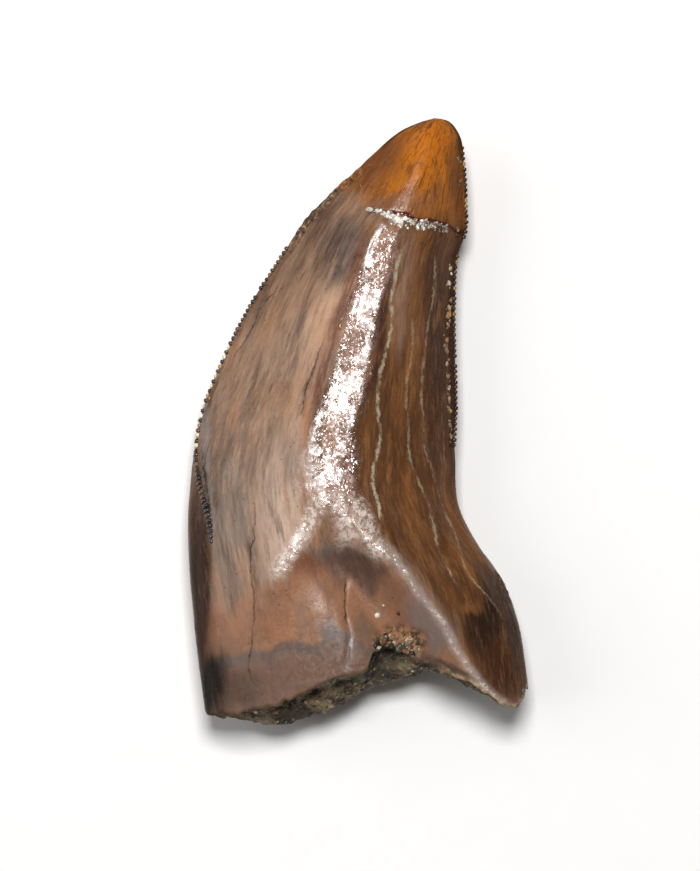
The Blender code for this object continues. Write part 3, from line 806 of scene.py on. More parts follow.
enamelLook = {
    # partly the enamel's own tan, partly painted sheen
    "frontTanAndSheen": (0.215, 0.125, 0.078),
    "rearBrown": (0.092, 0.037, 0.013),
    "farBrown": (0.12, 0.058, 0.03),
    "streakDark": (0.04, 0.018, 0.01),
    "streakOrange": (0.26, 0.1, 0.034),
    "mottleDark": (0.052, 0.021, 0.011),
    "mottleTan": (0.33, 0.17, 0.092),
    "mottleOrange": (0.24, 0.095, 0.028),
    "paleTan": (0.42, 0.265, 0.175),
    "paleOrange": (0.175, 0.075, 0.026),
    "grainDark": (0.035, 0.015, 0.008),
    "grainPale": (0.44, 0.27, 0.15),
    "pit": (0.02, 0.012, 0.008),
    "tip": (0.385, 0.112, 0.005),
    "tipPale": (0.46, 0.15, 0.008),
    "tipDark": (0.13, 0.036, 0.006),
    "foot": (0.265, 0.12, 0.062),
    "footDark": (0.185, 0.092, 0.054),
    "greyBand": (0.088, 0.07, 0.062),
    "mauve": (0.122, 0.07, 0.048),
    "vein": (0.39, 0.35, 0.24),
    "crack": (0.02, 0.01, 0.006),
    "redCrack": (0.06, 0.008, 0.004),
    "rim": (0.014, 0.009, 0.007),
    "broken": (0.23, 0.165, 0.105),
    "brokenBrown": (0.13, 0.083, 0.05),
    "brokenDarkAndShade": (0.045, 0.034, 0.024),
    "dentineStrip": (0.43, 0.32, 0.19),
    "chipTan": (0.3, 0.19, 0.1),
    "flake": (0.26, 0.12, 0.052),
    "flakeDark": (0.05, 0.028, 0.017),
    # the painted highlight on the rear ridge and the glints' legs, and its painted glow
    "ridgeHighlight": (0.6, 0.5, 0.44),
    "ridgeGlow": (0.34, 0.275, 0.245),
    # pink painted under the crest's glints, as painted sheen
    "crestPinkSheen": (0.4, 0.235, 0.19),
    "roughness": 0.12,
    "specular": 0.32,
    "steepSpecular": 0.03,
    "crestSpecular": 0.22,
    "glitter": 0.34,
    "glitterWidth": 1.12,
    "facets": (6.0, 13.0),       # to a mm
    "ridgeWidth": 0.14,
    "ridgeGlowWidth": 0.34,
    "legWidth": 0.56,
    # how far the ovals' places and the lines' places are pushed about
    "stainReach": (1.1, 3.4, 0.0),
    "lineReach": (0.34, 0.34, 0.0),
    "netScale": (2.4, 1.6, 2.4),
    # scale, detail and roughness of each noise
    "stainPush": ((0.9, 0.25, 0.9), 3.0, 0.6),
    "linePush": (2.2, 3.0, 0.6),
    "broad": ((1.1, 0.11, 1.1), 3.0, 0.6),
    "thin": ((3.0, 0.2, 3.0), 3.0, 0.55),
    "mottle": ((1.7, 0.26, 1.7), 4.0, 0.66),
    "wrinkles": ((5.5, 0.55, 5.5), 2.0, 0.5),
    "blotch": (0.5, 5.0, 0.66),
    "grain": ((8.0, 0.9, 8.0), 3.0, 0.6),
    "crestEdge": (1.6, 3.0, 0.7),
    "pinkSheenSpots": (3.0, 3.0, 0.7),
    "lightSpots": (3.4, 4.0, 0.75),
    "beads": ((3.0, 1.5, 3.0), 3.0, 0.65),
    "veinWander": (4.0, 4.0, 0.7),
    "speckle": (3.6, 3.0, 0.7),
    "chips": (2.6, 4.0, 0.7),
    "brokenSpots": (5.0, 4.0, 0.7),
    "dullPatches": (1.1, 3.0, 0.6),
    "dullSpots": (5.0, 2.0, 0.6),
    "uneven": (1.7, 2.0, 0.5),
    "glitterPatches": (0.9, 3.0, 0.6),
    "footLine": [(-8.5, -9.7), (-7.7, -9.4), (-5.3, -8.9), (-3.8, -7.9), (-2.0, -7.0), (0.5, -7.2),
                 (2.5, -8.0), (3.6, -9.2), (5.0, -11.5), (8.5, -14.5)],
    "greyLine": [(-8.5, -12.6), (-7.7, -12.2), (-6.8, -11.7), (-5.8, -11.55), (-5.2, -11.3),
                 (-4.45, -11.35), (-3.75, -10.9), (-1.8, -10.85), (-1.4, -10.1), (-0.8, -10.3),
                 (0.2, -10.9), (2.0, -11.5), (8.5, -15.0)],
    # stains of the near side, with painted sheen and a painted highlight among them: place, half sizes, turn,
    # softness, amount, colour
    "stainsAndPaintedLight": [
        ((3.0, 14.95), (1.2, 0.34), 26, 0.4, 0.97, (0.008, 0.005, 0.004)),
        ((3.9, 13.2), (0.9, 1.2), 0, 0.8, 0.5, (0.52, 0.15, 0.006)),
        ((2.6, 11.1), (1.0, 0.6), 0, 0.8, 0.75, (0.21, 0.088, 0.05)),
        ((1.4, 11.1), (0.7, 0.55), 0, 0.8, 0.8, (0.14, 0.056, 0.026)),
        ((3.9, 14.0), (1.2, 1.3), 0, 0.8, 0.6, (0.46, 0.125, 0.006)),
        ((5.1, 12.0), (0.55, 2.4), 0, 0.8, 0.85, (0.11, 0.04, 0.014)),
        ((0.8, 12.7), (0.9, 2.0), -38, 0.7, 0.9, (0.125, 0.04, 0.009)),
        ((3.3, 11.0), (1.4, 0.8), -12, 0.8, 0.5, (0.26, 0.1, 0.035)),
        ((-1.9, 10.4), (0.8, 1.9), -35, 0.7, 0.85, (0.075, 0.036, 0.019)),
        ((-0.4, 10.4), (0.8, 1.1), -35, 0.7, 0.65, (0.21, 0.125, 0.08)),
        ((-0.6, 8.6), (1.2, 1.6), -30, 0.6, 0.84, (0.078, 0.055, 0.047)),
        ((1.45, 9.55), (0.8, 0.4), 0, 0.5, 0.85, (0.24, 0.1, 0.035)),
        ((-4.1, 6.9), (0.75, 2.0), -32, 0.7, 0.8, (0.105, 0.055, 0.03)),
        ((-3.2, 7.2), (0.7, 1.9), -26, 0.8, 0.6, (0.25, 0.15, 0.095)),
        ((-3.7, 3.0), (0.6, 2.8), -16, 0.8, 0.5, (0.27, 0.165, 0.105)),
        ((-1.85, 5.1), (0.5, 1.5), -20, 0.8, 0.7, (0.52, 0.32, 0.2)),
        ((-1.15, 4.7), (0.45, 1.5), -20, 0.7, 0.9, (0.42, 0.195, 0.105)),
        ((-1.95, 1.2), (0.5, 1.7), -14, 0.7, 0.95, (0.12, 0.052, 0.03)),
        ((-2.9, 1.2), (0.55, 1.7), -14, 0.8, 0.88, (0.17, 0.08, 0.038)),
        ((-2.6, -1.9), (0.45, 1.4), -4, 0.8, 0.85, (0.24, 0.13, 0.095)),
        ((-6.6, -2.9), (0.9, 1.8), -6, 0.8, 0.92, (0.098, 0.058, 0.042)),
        ((-6.35, 0.1), (0.8, 1.7), -12, 0.8, 0.8, (0.155, 0.092, 0.068)),
        ((-5.6, 2.4), (1.2, 2.4), -24, 0.9, 0.55, (0.29, 0.19, 0.13)),
        # painted sheen: grey over the lower front side
        ((-6.4, -4.6), (1.1, 3.6), -2, 0.7, 0.75, (0.165, 0.125, 0.096)),
        # painted highlight: a pale halo beside the glints' left leg
        ((-3.7, -4.7), (1.1, 2.6), 0, 0.8, 0.92, (0.47, 0.335, 0.255)),
        ((-3.0, -0.9), (0.55, 2.0), -6, 0.7, 0.5, (0.3, 0.215, 0.165)),
        ((2.3, 6.6), (0.6, 2.4), -8, 0.8, 0.9, (0.27, 0.15, 0.092)),
        ((2.9, 4.1), (0.4, 2.0), -4, 0.8, 0.6, (0.16, 0.075, 0.034)),
        ((4.2, 3.2), (0.7, 5.6), 0, 0.7, 0.8, (0.034, 0.011, 0.004)),
        ((4.6, -2.6), (0.7, 2.4), 0, 0.8, 0.6, (0.06, 0.021, 0.007)),
        ((5.4, -5.6), (0.9, 2.2), 28, 0.8, 0.6, (0.165, 0.062, 0.016)),
        ((2.9, -5.5), (0.8, 1.8), 20, 0.8, 0.6, (0.145, 0.056, 0.018)),
    ],
    # stains that lie over the foot's own colours too, with painted shade and painted sheen among them
    "footStainsAndPaintedLight": [
        ((-0.9, -6.6), (1.6, 0.45), 0, 0.7, 0.7, (0.105, 0.088, 0.078)),
        # painted shade: darker in the hollow between the glints' legs
        ((-0.1, -7.4), (1.4, 0.85), -24, 0.5, 0.92, (0.064, 0.034, 0.026)),
        ((-2.6, -7.3), (0.85, 0.75), 0, 0.6, 0.8, (0.155, 0.058, 0.032)),
        ((2.2, -9.5), (0.6, 1.1), 12, 0.7, 0.5, (0.17, 0.066, 0.034)),
        # painted sheen: grey on the slope left of the rear ridge
        ((3.6, -9.9), (0.8, 1.7), 36, 0.6, 0.8, (0.15, 0.118, 0.105)),
        ((6.5, -10.0), (1.0, 1.5), 20, 0.6, 0.95, (0.018, 0.008, 0.004)),
        ((5.6, -9.1), (0.6, 0.35), 0, 0.8, 0.6, (0.19, 0.072, 0.02)),
        ((7.0, -12.4), (0.8, 1.3), 20, 0.8, 0.9, (0.042, 0.013, 0.005)),
        ((2.15, -1.9), (0.35, 1.6), 0, 0.8, 0.7, (0.07, 0.026, 0.008)),
        ((7.9, -10.8), (0.35, 2.2), 8, 0.7, 0.8, (0.026, 0.017, 0.012)),
        # painted shade: darker down the rounded front side
        ((-8.0, -9.0), (0.75, 6.2), 0, 0.5, 0.94, (0.018, 0.006, 0.003)),
        ((-5.8, -13.4), (1.1, 0.95), 0, 0.7, 0.8, (0.062, 0.032, 0.02)),
        ((0.6, -10.8), (0.9, 0.7), 0, 0.8, 0.8, (0.13, 0.078, 0.052)),
        ((-7.25, -13.4), (0.75, 1.7), -8, 0.5, 1.0, (0.007, 0.004, 0.003)),
        ((2.4, -11.0), (1.0, 0.8), -20, 0.8, 0.85, (0.085, 0.04, 0.022)),
        ((-1.45, -10.2), (0.4, 0.7), 0, 0.7, 0.75, (0.11, 0.08, 0.066)),
        ((6.9, -8.0), (0.75, 1.3), 28, 0.7, 0.8, (0.042, 0.026, 0.017)),
    ],
}


def makeEnamel():
    look = enamelLook
    material, inputs = startMaterial("fossilEnamel")
    place = placeInMm()
    straight = marked("straight", "Vector")
    near, onSkin, rearGap, frontGap, share = map(marked, ("near", "skin", "rearGap", "frontGap", "share"))

    # places are pushed about, the ovals' more along the tooth, so that their edges get streaky
    x, y = pushed(place, noiseOf(straight, *look["stainPush"], output=1), look["stainReach"])
    xFine, yFine = pushed(place, noiseOf(place, *look["linePush"], output=1), look["lineReach"])
    stainPlace = flatPlace(x, y)

    # front and rear of the crest: the front side's lighter tan is partly its own colour and partly painted
    # sheen
    rearSide = rise(less(x, lineAt(yFine, markLines["crest"])), -0.3, 1.2)
    colour = paint(rearSide, look["frontTanAndSheen"], look["rearBrown"])
    colour = paint(near, look["farBrown"], colour)

    def lay(amount, tone):  # paints a tone over what is there
        nonlocal colour
        colour = paint(amount, colour, look[tone] if isinstance(tone, str) else tone)

    def layOvals(stainsAndPaintedLight):
        for *oval, tone in stainsAndPaintedLight:
            lay(times(stainMask(stainPlace, *oval), near), tone)

    # lengthwise streaks
    broad = noiseOf(straight, *look["broad"])
    thin = noiseOf(straight, *look["thin"])
    mottle = noiseOf(straight, *look["mottle"])
    lay(rise(broad, 0.52, 0.75, 0.0, 0.65), "streakDark")
    orange = rise(plus(broad, times(thin, 0.4)), 0.62, 0.4, 0.0, 0.6)
    lay(orange, "streakOrange")

    # the tip
    tipLine = lineAt(xFine, markLines["tipCrack"], down=False)
    nearTip = rise(plus(share, times(broad, 0.04)), 0.235, 0.185)
    tip = times(nearTip, rise(less(yFine, tipLine), -0.35, 0.25))
    offTip = fewer(tip, 0.8)
    tipTone = paint(rise(thin, 0.42, 0.66), look["tip"], look["tipPale"])
    tipTone = paint(rise(broad, 0.56, 0.74, 0.0, 0.8), tipTone, look["tipDark"])
    lay(times(tip, 0.98), tipTone)

    # stains with painted sheen and a painted highlight among them, soft bands with painted sheen among them,
    # and mottle
    layOvals(look["stainsAndPaintedLight"])
    for band in markLines["bands"]:
        mask = bandMask(xFine, yFine, band["line"], band["width"])
        mask = times(mask, near, rise(thin, 0.25, 0.55, 0.45, 1.0), band["amount"])
        lay(mask, band["colour"])
    lay(rise(thin, 0.5, 0.68, 0.0, 0.3), "streakDark")
    lay(times(rise(mottle, 0.51, 0.67, 0.0, 0.55), offTip), "mottleDark")
    warmTone = paint(rearSide, look["mottleTan"], look["mottleOrange"])
    lay(times(rise(mottle, 0.47, 0.35, 0.0, 0.55), offTip), warmTone)
    paleTone = paint(rearSide, look["paleTan"], look["paleOrange"])
    lay(times(rise(thin, 0.48, 0.3, 0.0, 0.3), near, offTip), paleTone)

    # short wrinkles along the tip and a net of fine cracks
    wrinkleLines = rise(noiseOf(straight, *look["wrinkles"]), 0.54, 0.62)
    wrinkles = times(wrinkleLines, rise(noiseOf(place, 0.9), 0.35, 0.6))
    net = cellsOf(vectorOf("MULTIPLY", straight, look["netScale"]), 1.0, "DISTANCE_TO_EDGE")[0]
    net = times(rise(net, 0.1, 0.02), rise(noiseOf(place, 1.3), 0.4, 0.6, 0.0, 0.6))
    lay(times(anyOf(wrinkles, net), nearTip, 0.7), "tipDark")
    edgeGap = figure("MINIMUM", frontGap, rearGap)
    tipRim = times(rise(edgeGap, 0.42, 0.1), rise(share, 0.11, 0.06), 0.85)
    lay(tipRim, "rim")

    # the foot of the crown: an orange-brown zone, a grey line, then mauve-brown down to the break
    foot = rise(less(y, lineAt(xFine, look["footLine"], down=False)), 0.5, -0.5, 0.0, 0.9)
    blotch = noiseOf(stainPlace, *look["blotch"])
    footTone = paint(rise(blotch, 0.44, 0.62), look["foot"], look["footDark"])
    lay(foot, footTone)
    greyY = less(yFine, lineAt(xFine, look["greyLine"], down=False))
    greyBand = times(rise(greyY, 0.2, -0.2), rise(greyY, -1.0, -0.35), foot, 0.9)
    lay(times(rise(greyY, -0.2, -1.0, 0.0, 0.95), foot), "mauve")
    lay(greyBand, "greyBand")
    # the foot's ovals: stains, with painted shade and painted sheen among them
    layOvals(look["footStainsAndPaintedLight"])
    # painted shade along the broken foot's edge
    shade = markLines["rimShade"]
    rimShade = times(bandMask(xFine, yFine, shade["line"], shade["width"]), near, shade["amount"])
    lay(rimShade, "brokenDarkAndShade")

    # fine lengthwise grain and small dark pits
    grain = noiseOf(straight, *look["grain"])
    offFoot = fewer(foot, 0.75)
    lay(times(rise(grain, 0.42, 0.7, 0.0, 0.22), offFoot), "grainDark")
    lay(times(rise(grain, 0.5, 0.3, 0.0, 0.1), offFoot, offTip), "grainPale")
    lay(rise(cellsOf(place, 1.6)[0], 0.1, 0.04, 0.0, 0.6), "pit")

    # a paler pink ground painted under the glints of the crest, as painted sheen
    wide = look["glitterWidth"]
    crestGap = figure("ABSOLUTE", less(xFine, lineAt(yFine, markLines["glints"])))
    ragged = figure("MULTIPLY_ADD", noiseOf(place, *look["crestEdge"]), 1.5, -0.75)
    crestEdge = plus(crestGap, ragged, rise(yFine, 6.5, 10.4, 0.0, 0.7))
    onCrest = times(rise(crestEdge, wide, wide * 0.8), rise(yFine, -6.7, -5.7), rise(yFine, 10.6, 10.0), near)
    pinkSheen = rise(noiseOf(place, *look["pinkSheenSpots"]), 0.38, 0.62, 0.1, 0.7)
    pinkSheen = times(rise(crestGap, wide * 0.75, wide * 0.45), pinkSheen, onCrest)
    lay(pinkSheen, "crestPinkSheen")

    # painted highlight: a pale line and a painted glow along the rear ridge, and pale painted specks on the
    # glints' legs beside the dark patch
    ridge = markLines["ridgeHighlight"]
    ridgeHighlight = times(bandMask(xFine, yFine, ridge, look["ridgeWidth"]), near)
    legs = [bandMask(xFine, yFine, line, look["legWidth"]) for line in markLines["glintLegs"]]
    legs = times(anyOf(*legs), near)
    lightNoise = noiseOf(place, *look["lightSpots"])
    ridgeGlow = times(bandMask(xFine, yFine, ridge, look["ridgeGlowWidth"]), near, 0.45)
    lay(ridgeGlow, "ridgeGlow")
    ridgeSpots = times(ridgeHighlight, rise(lightNoise, 0.48, 0.62, 0.05, 0.75))
    legSpots = times(legs, rise(lightNoise, 0.45, 0.55, 0.2, 0.9))
    lay(anyOf(ridgeSpots, legSpots), "ridgeHighlight")

    # mineral veins, broken up into beads, and open cracks of the near side
    beads = noiseOf(place, *look["beads"])
    xVein, yVein = split(place)[:2]
    xVein = plus(xVein, figure("MULTIPLY_ADD", noiseOf(place, *look["veinWander"]), 0.34, -0.17))
    veins = [times(bandMask(xVein, yVein, vein["line"], vein["width"]), vein["amount"])
             for vein in markLines["veins"]]
    veins = times(anyOf(*veins), near, rise(beads, 0.4, 0.6, 0.15, 1.0))
    lay(veins, "vein")
    cracks = [bandMask(xFine, yFine, crack["line"], crack["width"]) for crack in markLines["cracks"]]
    cracks = times(anyOf(*cracks), near, rise(beads, 0.62, 0.4, 0.35, 0.85))
    lay(cracks, "crack")

    # the dark red line of the tip's crack, and the dark strip beside the rear blade
    redGap = figure("ABSOLUTE", less(yFine, tipLine))
    red = times(rise(redGap, 0.14, 0.04), rise(xFine, 0.4, 0.9), near, 0.9)
    lay(red, "redCrack")
    serrated = times(rise(share, 0.6, 0.5), rise(share, 0.16, 0.24))
    lay(times(rise(rearGap, 0.62, 0.25, 0.0, 0.85), serrated), "streakDark")

    # chips and broken surfaces
    crumbled = times(rise(frontGap, 1.1, 0.3), rise(share, 0.1, 0.15), rise(share, 0.31, 0.26))
    speckle = noiseOf(place, *look["speckle"])
    lay(times(crumbled, rise(speckle, 0.54, 0.62)), "chipTan")
    lay(times(crumbled, rise(speckle, 0.46, 0.38)), "rim")
    rawSpot = crownSkin["raw"][0]
    raw = times(stainMask(flatPlace(xFine, yFine), rawSpot["at"], rawSpot["size"], soft=0.25), near)
    flake = paint(rise(speckle, 0.42, 0.6), look["flake"], look["flakeDark"])
    lay(times(raw, 0.85), flake)
    breakY = lineAt(xFine, crownForm["nearBreak"], down=False)
    dentine = times(rise(less(yFine, breakY), 0.34, 0.12), rise(xFine, 3.6, 5.2), near,
                    rise(speckle, 0.4, 0.6, 0.15, 0.75))
    lay(dentine, "dentineStrip")
    broken = paint(rise(blotch, 0.42, 0.6), look["broken"], look["brokenBrown"])
    brokenSpots = rise(noiseOf(place, *look["brokenSpots"]), 0.52, 0.66, 0.0, 0.8)
    broken = paint(brokenSpots, broken, look["brokenDarkAndShade"])
    feed(inputs["Base Color"], paint(onSkin, broken, colour))

    # the shine: finer in some patches, dull where the surface is broken
    smooth = look["roughness"]
    rough = plus(
        rise(noiseOf(place, *look["dullPatches"]), 0.38, 0.66, smooth - 0.03, smooth + 0.1),
        rise(noiseOf(place, *look["dullSpots"]), 0.46, 0.6, 0.0, 0.16),
        times(foot, 0.14),
        times(nearTip, 0.1),
        times(anyOf(raw, times(crumbled, 0.6)), 0.35),
    )
    rough = plus(times(rough, onSkin), figure("MULTIPLY_ADD", onSkin, -0.85, 0.85))
    feed(inputs["Roughness"], rough)

    # steep sides mirror less of the floor, the crest mirrors more of the lamp
    glinting = anyOf(onCrest, anyOf(ridgeHighlight, legs))
    upright = figure("ABSOLUTE", split(tree.nodes.new("ShaderNodeTexCoord").outputs["Normal"])[2])
    mirror = rise(upright, 0.5, 0.92, look["steepSpecular"], look["specular"])
    mirror = plus(times(mirror, fewer(tip, 0.5)), times(glinting, look["crestSpecular"]))
    feed(inputs["Specular IOR Level"], mirror)

    # unevenness, glinting facets, the tip's wrinkles and the roughness of the break
    normal = bumpOf(plus(times(grain, 0.3), noiseOf(place, *look["uneven"])), 0.02)
    glitter = rise(noiseOf(place, *look["glitterPatches"]), 0.42, 0.62, 0.16, 1.0)
    glitter = times(glitter, rise(glinting, 0.0, 1.0, 0.1, 1.0))
    facets = plus(*(facetsOf(place, scale) for scale in look["facets"]))
    normal = bumpOf(facets, look["glitter"], normal, glitter)
    normal = bumpOf(wrinkleLines, -0.02, normal, nearTip)
    normal = bumpOf(noiseOf(place, *look["chips"]), 0.1, normal, anyOf(fewer(onSkin, 0.95), raw))
    feed(inputs["Normal"], normal)
    return material


crown = makeCrown()
dress(crown, makeEnamel(), "enamel", "tooth")
print("crown made:", len(crown.data.polygons), "faces")


# small bits: each is modelled once, about 1 across, and copied where it is wanted

smallBits = {
    # kinds, subdivisions of the ball, height of its lumps
    "pebbles": (range(5), 2, 0.5),
    "shards": (range(5, 9), 1, 0.7),
    "lumpSize": 0.6,
    "kindStep": 3.7,       # each kind gets its lumps from a place of its own
    "breadth": (0.6, 0.95),
    "thickness": (0.55, 0.85),
    "toneSpread": 0.05,
    "bare": (0.05, 0.6),   # a spot is bare where nothing covers it from and to these heights
}


def makePebble(kind, divisions, lumpiness):
    pick()
    place = (kind * smallBits["kindStep"], 0.0, 0.0)
    bpy.ops.mesh.primitive_ico_sphere_add(subdivisions=divisions, radius=0.5, location=place)
    pebble = newest("pebble")
    texture = bpy.data.textures.new("pebbleLumps", "CLOUDS")
    texture.noise_scale = smallBits["lumpSize"]
    lumpy = pebble.modifiers.new("lumps", "DISPLACE")
    lumpy.texture = texture
    lumpy.texture_coords = "GLOBAL"
    lumpy.strength = lumpiness
    lumpy.mid_level = 0.5
    applyModifiers(pebble)
    pebble.location = (0.0, 0.0, 0.0)
    return pebble


def makePebbles(name):
    kinds, *shape = smallBits[name]
    return [makePebble(kind, *shape) for kind in kinds]


def discard(things):
    for thing in things:
        bpy.data.objects.remove(thing)


def sized(size):  # from mm to a matrix
    return Matrix.Diagonal((*(Vector(size) * mm), 1.0))


def strew(models, spots, dice, sizes, tones, sink=0.2):
    spread = smallBits["toneSpread"]
    bits = []
    for spot, out in spots:
        size = sizes[0] + (sizes[1] - sizes[0]) * dice.random() ** 2
        shape = (size, *(size * dice.uniform(*smallBits[name]) for name in ("breadth", "thickness")))
        at = Vector(spot) - Vector(out) * size * sink
        turn = Vector(out).to_track_quat("Z", "Y").to_matrix().to_4x4()
        spin = Matrix.Rotation(dice.uniform(0, 2 * pi), 4, "Z")
        place = Matrix.Translation(at * mm) @ turn @ spin @ sized(shape)
        bits.append(copyOf(dice.choice(models), place, dice.choice(tones) + dice.uniform(-spread, spread)))
    return bits


def spotsUnder(piece, places):  # where rays straight down meet a piece, with the way out of its face
    found = []
    for x, y in places:
        hit, spot, out, _ = piece.ray_cast(Vector((x * mm, y * mm, 0.02)), Vector((0, 0, -1)))
        if hit:
            found.append((spot / mm, out.copy()))
    return found


def spotsOnFaces(piece, cover, wanted, dice, keep):  # bare places on a piece that the cover leaves free
    faces = sorted(
        (face for face in piece.data.polygons if keep(face)),
        key=lambda face: tuple(round(part / mm, 3) for part in face.center),
    )
    lift, reach = smallBits["bare"]
    found = []
    for face in dice.choices(faces, [face.area for face in faces], k=wanted):
        start = face.center + face.normal * lift * mm
        if not cover.ray_cast(start, face.normal, distance=reach * mm)[0]:
            found.append((face.center / mm, face.normal.copy()))
    return found


def makeToned(name, stops, roughness, specular, mottle=4.0):
    material, inputs = startMaterial(name)
    place = placeInMm()
    speckle = noiseOf(place, mottle, 3.0, 0.65)
    shades = tree.nodes.new("ShaderNodeValToRGB")
    feed(shades.inputs[0], plus(marked("tone"), figure("MULTIPLY_ADD", speckle, 0.5, -0.25)))
    spots = shades.color_ramp.elements
    for k, (position, colour) in enumerate(stops):
        spot = spots[k] if k < 2 else spots.new(position)
        spot.position = position
        spot.color = (*colour, 1.0)
    feed(inputs["Base Color"], shades.outputs[0])
    feed(inputs["Roughness"], rise(speckle, 0.35, 0.65, roughness * 0.8, roughness * 1.3))
    feed(inputs["Normal"], bumpOf(noiseOf(place, 16.0, 2.0, 0.6), 0.012))
    feed(inputs["Specular IOR Level"], specular)
    return material


# the serrated edges

serrations = {
    "seed": 4,
    "pitch": 0.262,
    "bead": (0.215, 0.4, 0.18),  # along the edge, across the blade, out from it
    "seat": 0.095,                # how far out a bead's middle lies
    "beadSpread": ((0.85, 1.02), (0.8, 1.1), (0.7, 1.1)),
    "bevel": 0.24,
    "taper": -0.45,
    "leastFull": 0.45,            # of a bead where the blade fades
    "steps": 1600,
    "stray": 0.02,
    "toneSpread": 0.06,
    "shine": (0.28, 0.5),         # roughness and specular
    "mottle": 9.0,
    # the share it runs through, the gaps in it, and the share in which it is bright, its pale beads partly
    # their own colour and partly painted glints
    "rear": {
        "shares": (0.068, 0.53), "gaps": [(0.211, 0.238), (0.398, 0.408)], "bright": (0.24, 0.36),
        "tones": (0.12, 0.3, 0.05, 0.42, 0.2, 0.6, 0.1),
        "brightTones": (0.1, 0.2, 0.55, 0.05, 0.3),
    },
    "front": {
        "shares": (0.28, 0.725), "gaps": [(0.352, 0.362)], "bright": (0.44, 0.6),
        "tones": (0.02, 0.1, 0.22, 0.4, 0.05),
        "brightTones": (0.9, 0.06, 0.62, 0.3, 0.84, 0.04),
    },
    "stops": [
        (0.0, (0.012, 0.009, 0.008)), (0.3, (0.06, 0.032, 0.018)), (0.52, (0.2, 0.115, 0.048)),
        (0.74, (0.44, 0.26, 0.07)), (0.9, (0.64, 0.56, 0.36)), (1.0, (0.78, 0.76, 0.7)),
    ],
}


def makeBead():
    pick()
    bpy.ops.mesh.primitive_cube_add(size=1.0)
    bead = newest("bead")
    onWholeMesh(bead, bpy.ops.mesh.bevel, offset=serrations["bevel"], segments=2, affect="EDGES")
    taper = bead.modifiers.new("taper", "SIMPLE_DEFORM")
    taper.deform_method = "TAPER"
    taper.deform_axis = "Z"
    taper.factor = serrations["taper"]
    applyModifiers(bead)
    bpy.ops.object.shade_smooth()
    return bead


def serrateEdge(bead, edge, angleAt, weightsAt, dice):
    shares = np.linspace(*edge["shares"], serrations["steps"])
    angle = angleAt(shares)
    line = crownPoint(angle, shares)
    outs = outOfBlade(sectionEdges(shares)[2], angle)
    weights = weightsAt(*bladeWeights(shares))
    walked = np.concatenate([[0.0], np.cumsum(np.linalg.norm(np.diff(line, axis=0), axis=-1))])
    pitch, stray, spread = (serrations[name] for name in ("pitch", "stray", "toneSpread"))
    tones = edge["brightTones"]
    beads = []
    for count, at in enumerate(np.arange(pitch / 2, walked[-1], pitch)):
        k = min(int(np.searchsorted(walked, at + dice.uniform(-stray, stray))), len(shares) - 2)
        if any(low < shares[k] < high for low, high in edge["gaps"]):
            continue
        out = Vector(outs[k]).normalized()
        along = Vector(line[k + 1] - line[k]).normalized()
        across = out.cross(along).normalized()
        axes = Matrix((across.cross(out), across, out)).transposed().to_4x4()
        full = max(weights[k], serrations["leastFull"])
        parts = zip(serrations["bead"], serrations["beadSpread"])
        long, thick, high = (part * dice.uniform(*limits) for part, limits in parts)
        spot = Vector(line[k]) + out * serrations["seat"] * full
        place = Matrix.Translation(spot * mm) @ axes @ sized((long, thick * full, high * full))
        isBright = edge["bright"][0] < shares[k] < edge["bright"][1]
        tone = tones[count % len(tones)] if isBright else dice.choice(edge["tones"])
        beads.append(copyOf(bead, place, tone + dice.uniform(-spread, spread)))
    return beads


def makeSerrations():
    dice = random.Random(serrations["seed"])
    bead = makeBead()
    material = makeToned("denticleEnamel", serrations["stops"], *serrations["shine"], serrations["mottle"])
    rear = serrateEdge(bead, serrations["rear"], np.zeros_like, lambda front, back: back, dice)
    front = serrateEdge(bead, serrations["front"], lambda share: pi - bladeTurnAt(share), np.maximum, dice)
    dress(joinAs("rearSerrations", rear), material, "enamel")
    dress(joinAs("frontSerrations", front), material, "enamel")
    discard([bead])
    return len(rear) + len(front)


print("serrations made:", makeSerrations(), "denticles")


# the rock in the broken hollow

rockLook = {
    "swell": 0.27,
    "voxel": 0.11,
    "lumps": (0.42, 0.8),      # depth and size
    "grains": (0.16, 0.32),
    "lumpMiddle": 0.6,
    "weld": 0.001,
    # scale, detail and roughness of each noise
    "coarse": (1.2, 4.0, 0.65),
    "fine": (5.5, 3.0, 0.7),
    "finest": (15.0, 2.0, 0.6),
    "greenSpots": (1.3, 3.0, 0.6),
    "fineDepth": 0.09,
    "finestDepth": 0.03,
    "specular": 0.35,
    "sandDark": (0.05, 0.035, 0.023),
    "sandTan": (0.24, 0.165, 0.092),
    "sandGreen": (0.175, 0.16, 0.098),
    "sandPale": (0.43, 0.37, 0.25),
    "black": (0.01, 0.008, 0.007),
    # place and half sizes, and where they differ turn, softness and amount
    "palePatches": [
        ((-0.8, -12.45), (0.55, 0.3)), ((-1.4, -12.9), (0.35, 0.2)), ((0.1, -12.75), (0.3, 0.25)),
    ],
    "darkPatches": [
        ((1.1, -12.05), (0.9, 0.95), 0.0, 0.5, 0.85), ((3.1, -11.55), (0.55, 0.25)),
        ((-2.8, -14.7), (1.6, 0.45)),
    ],
}


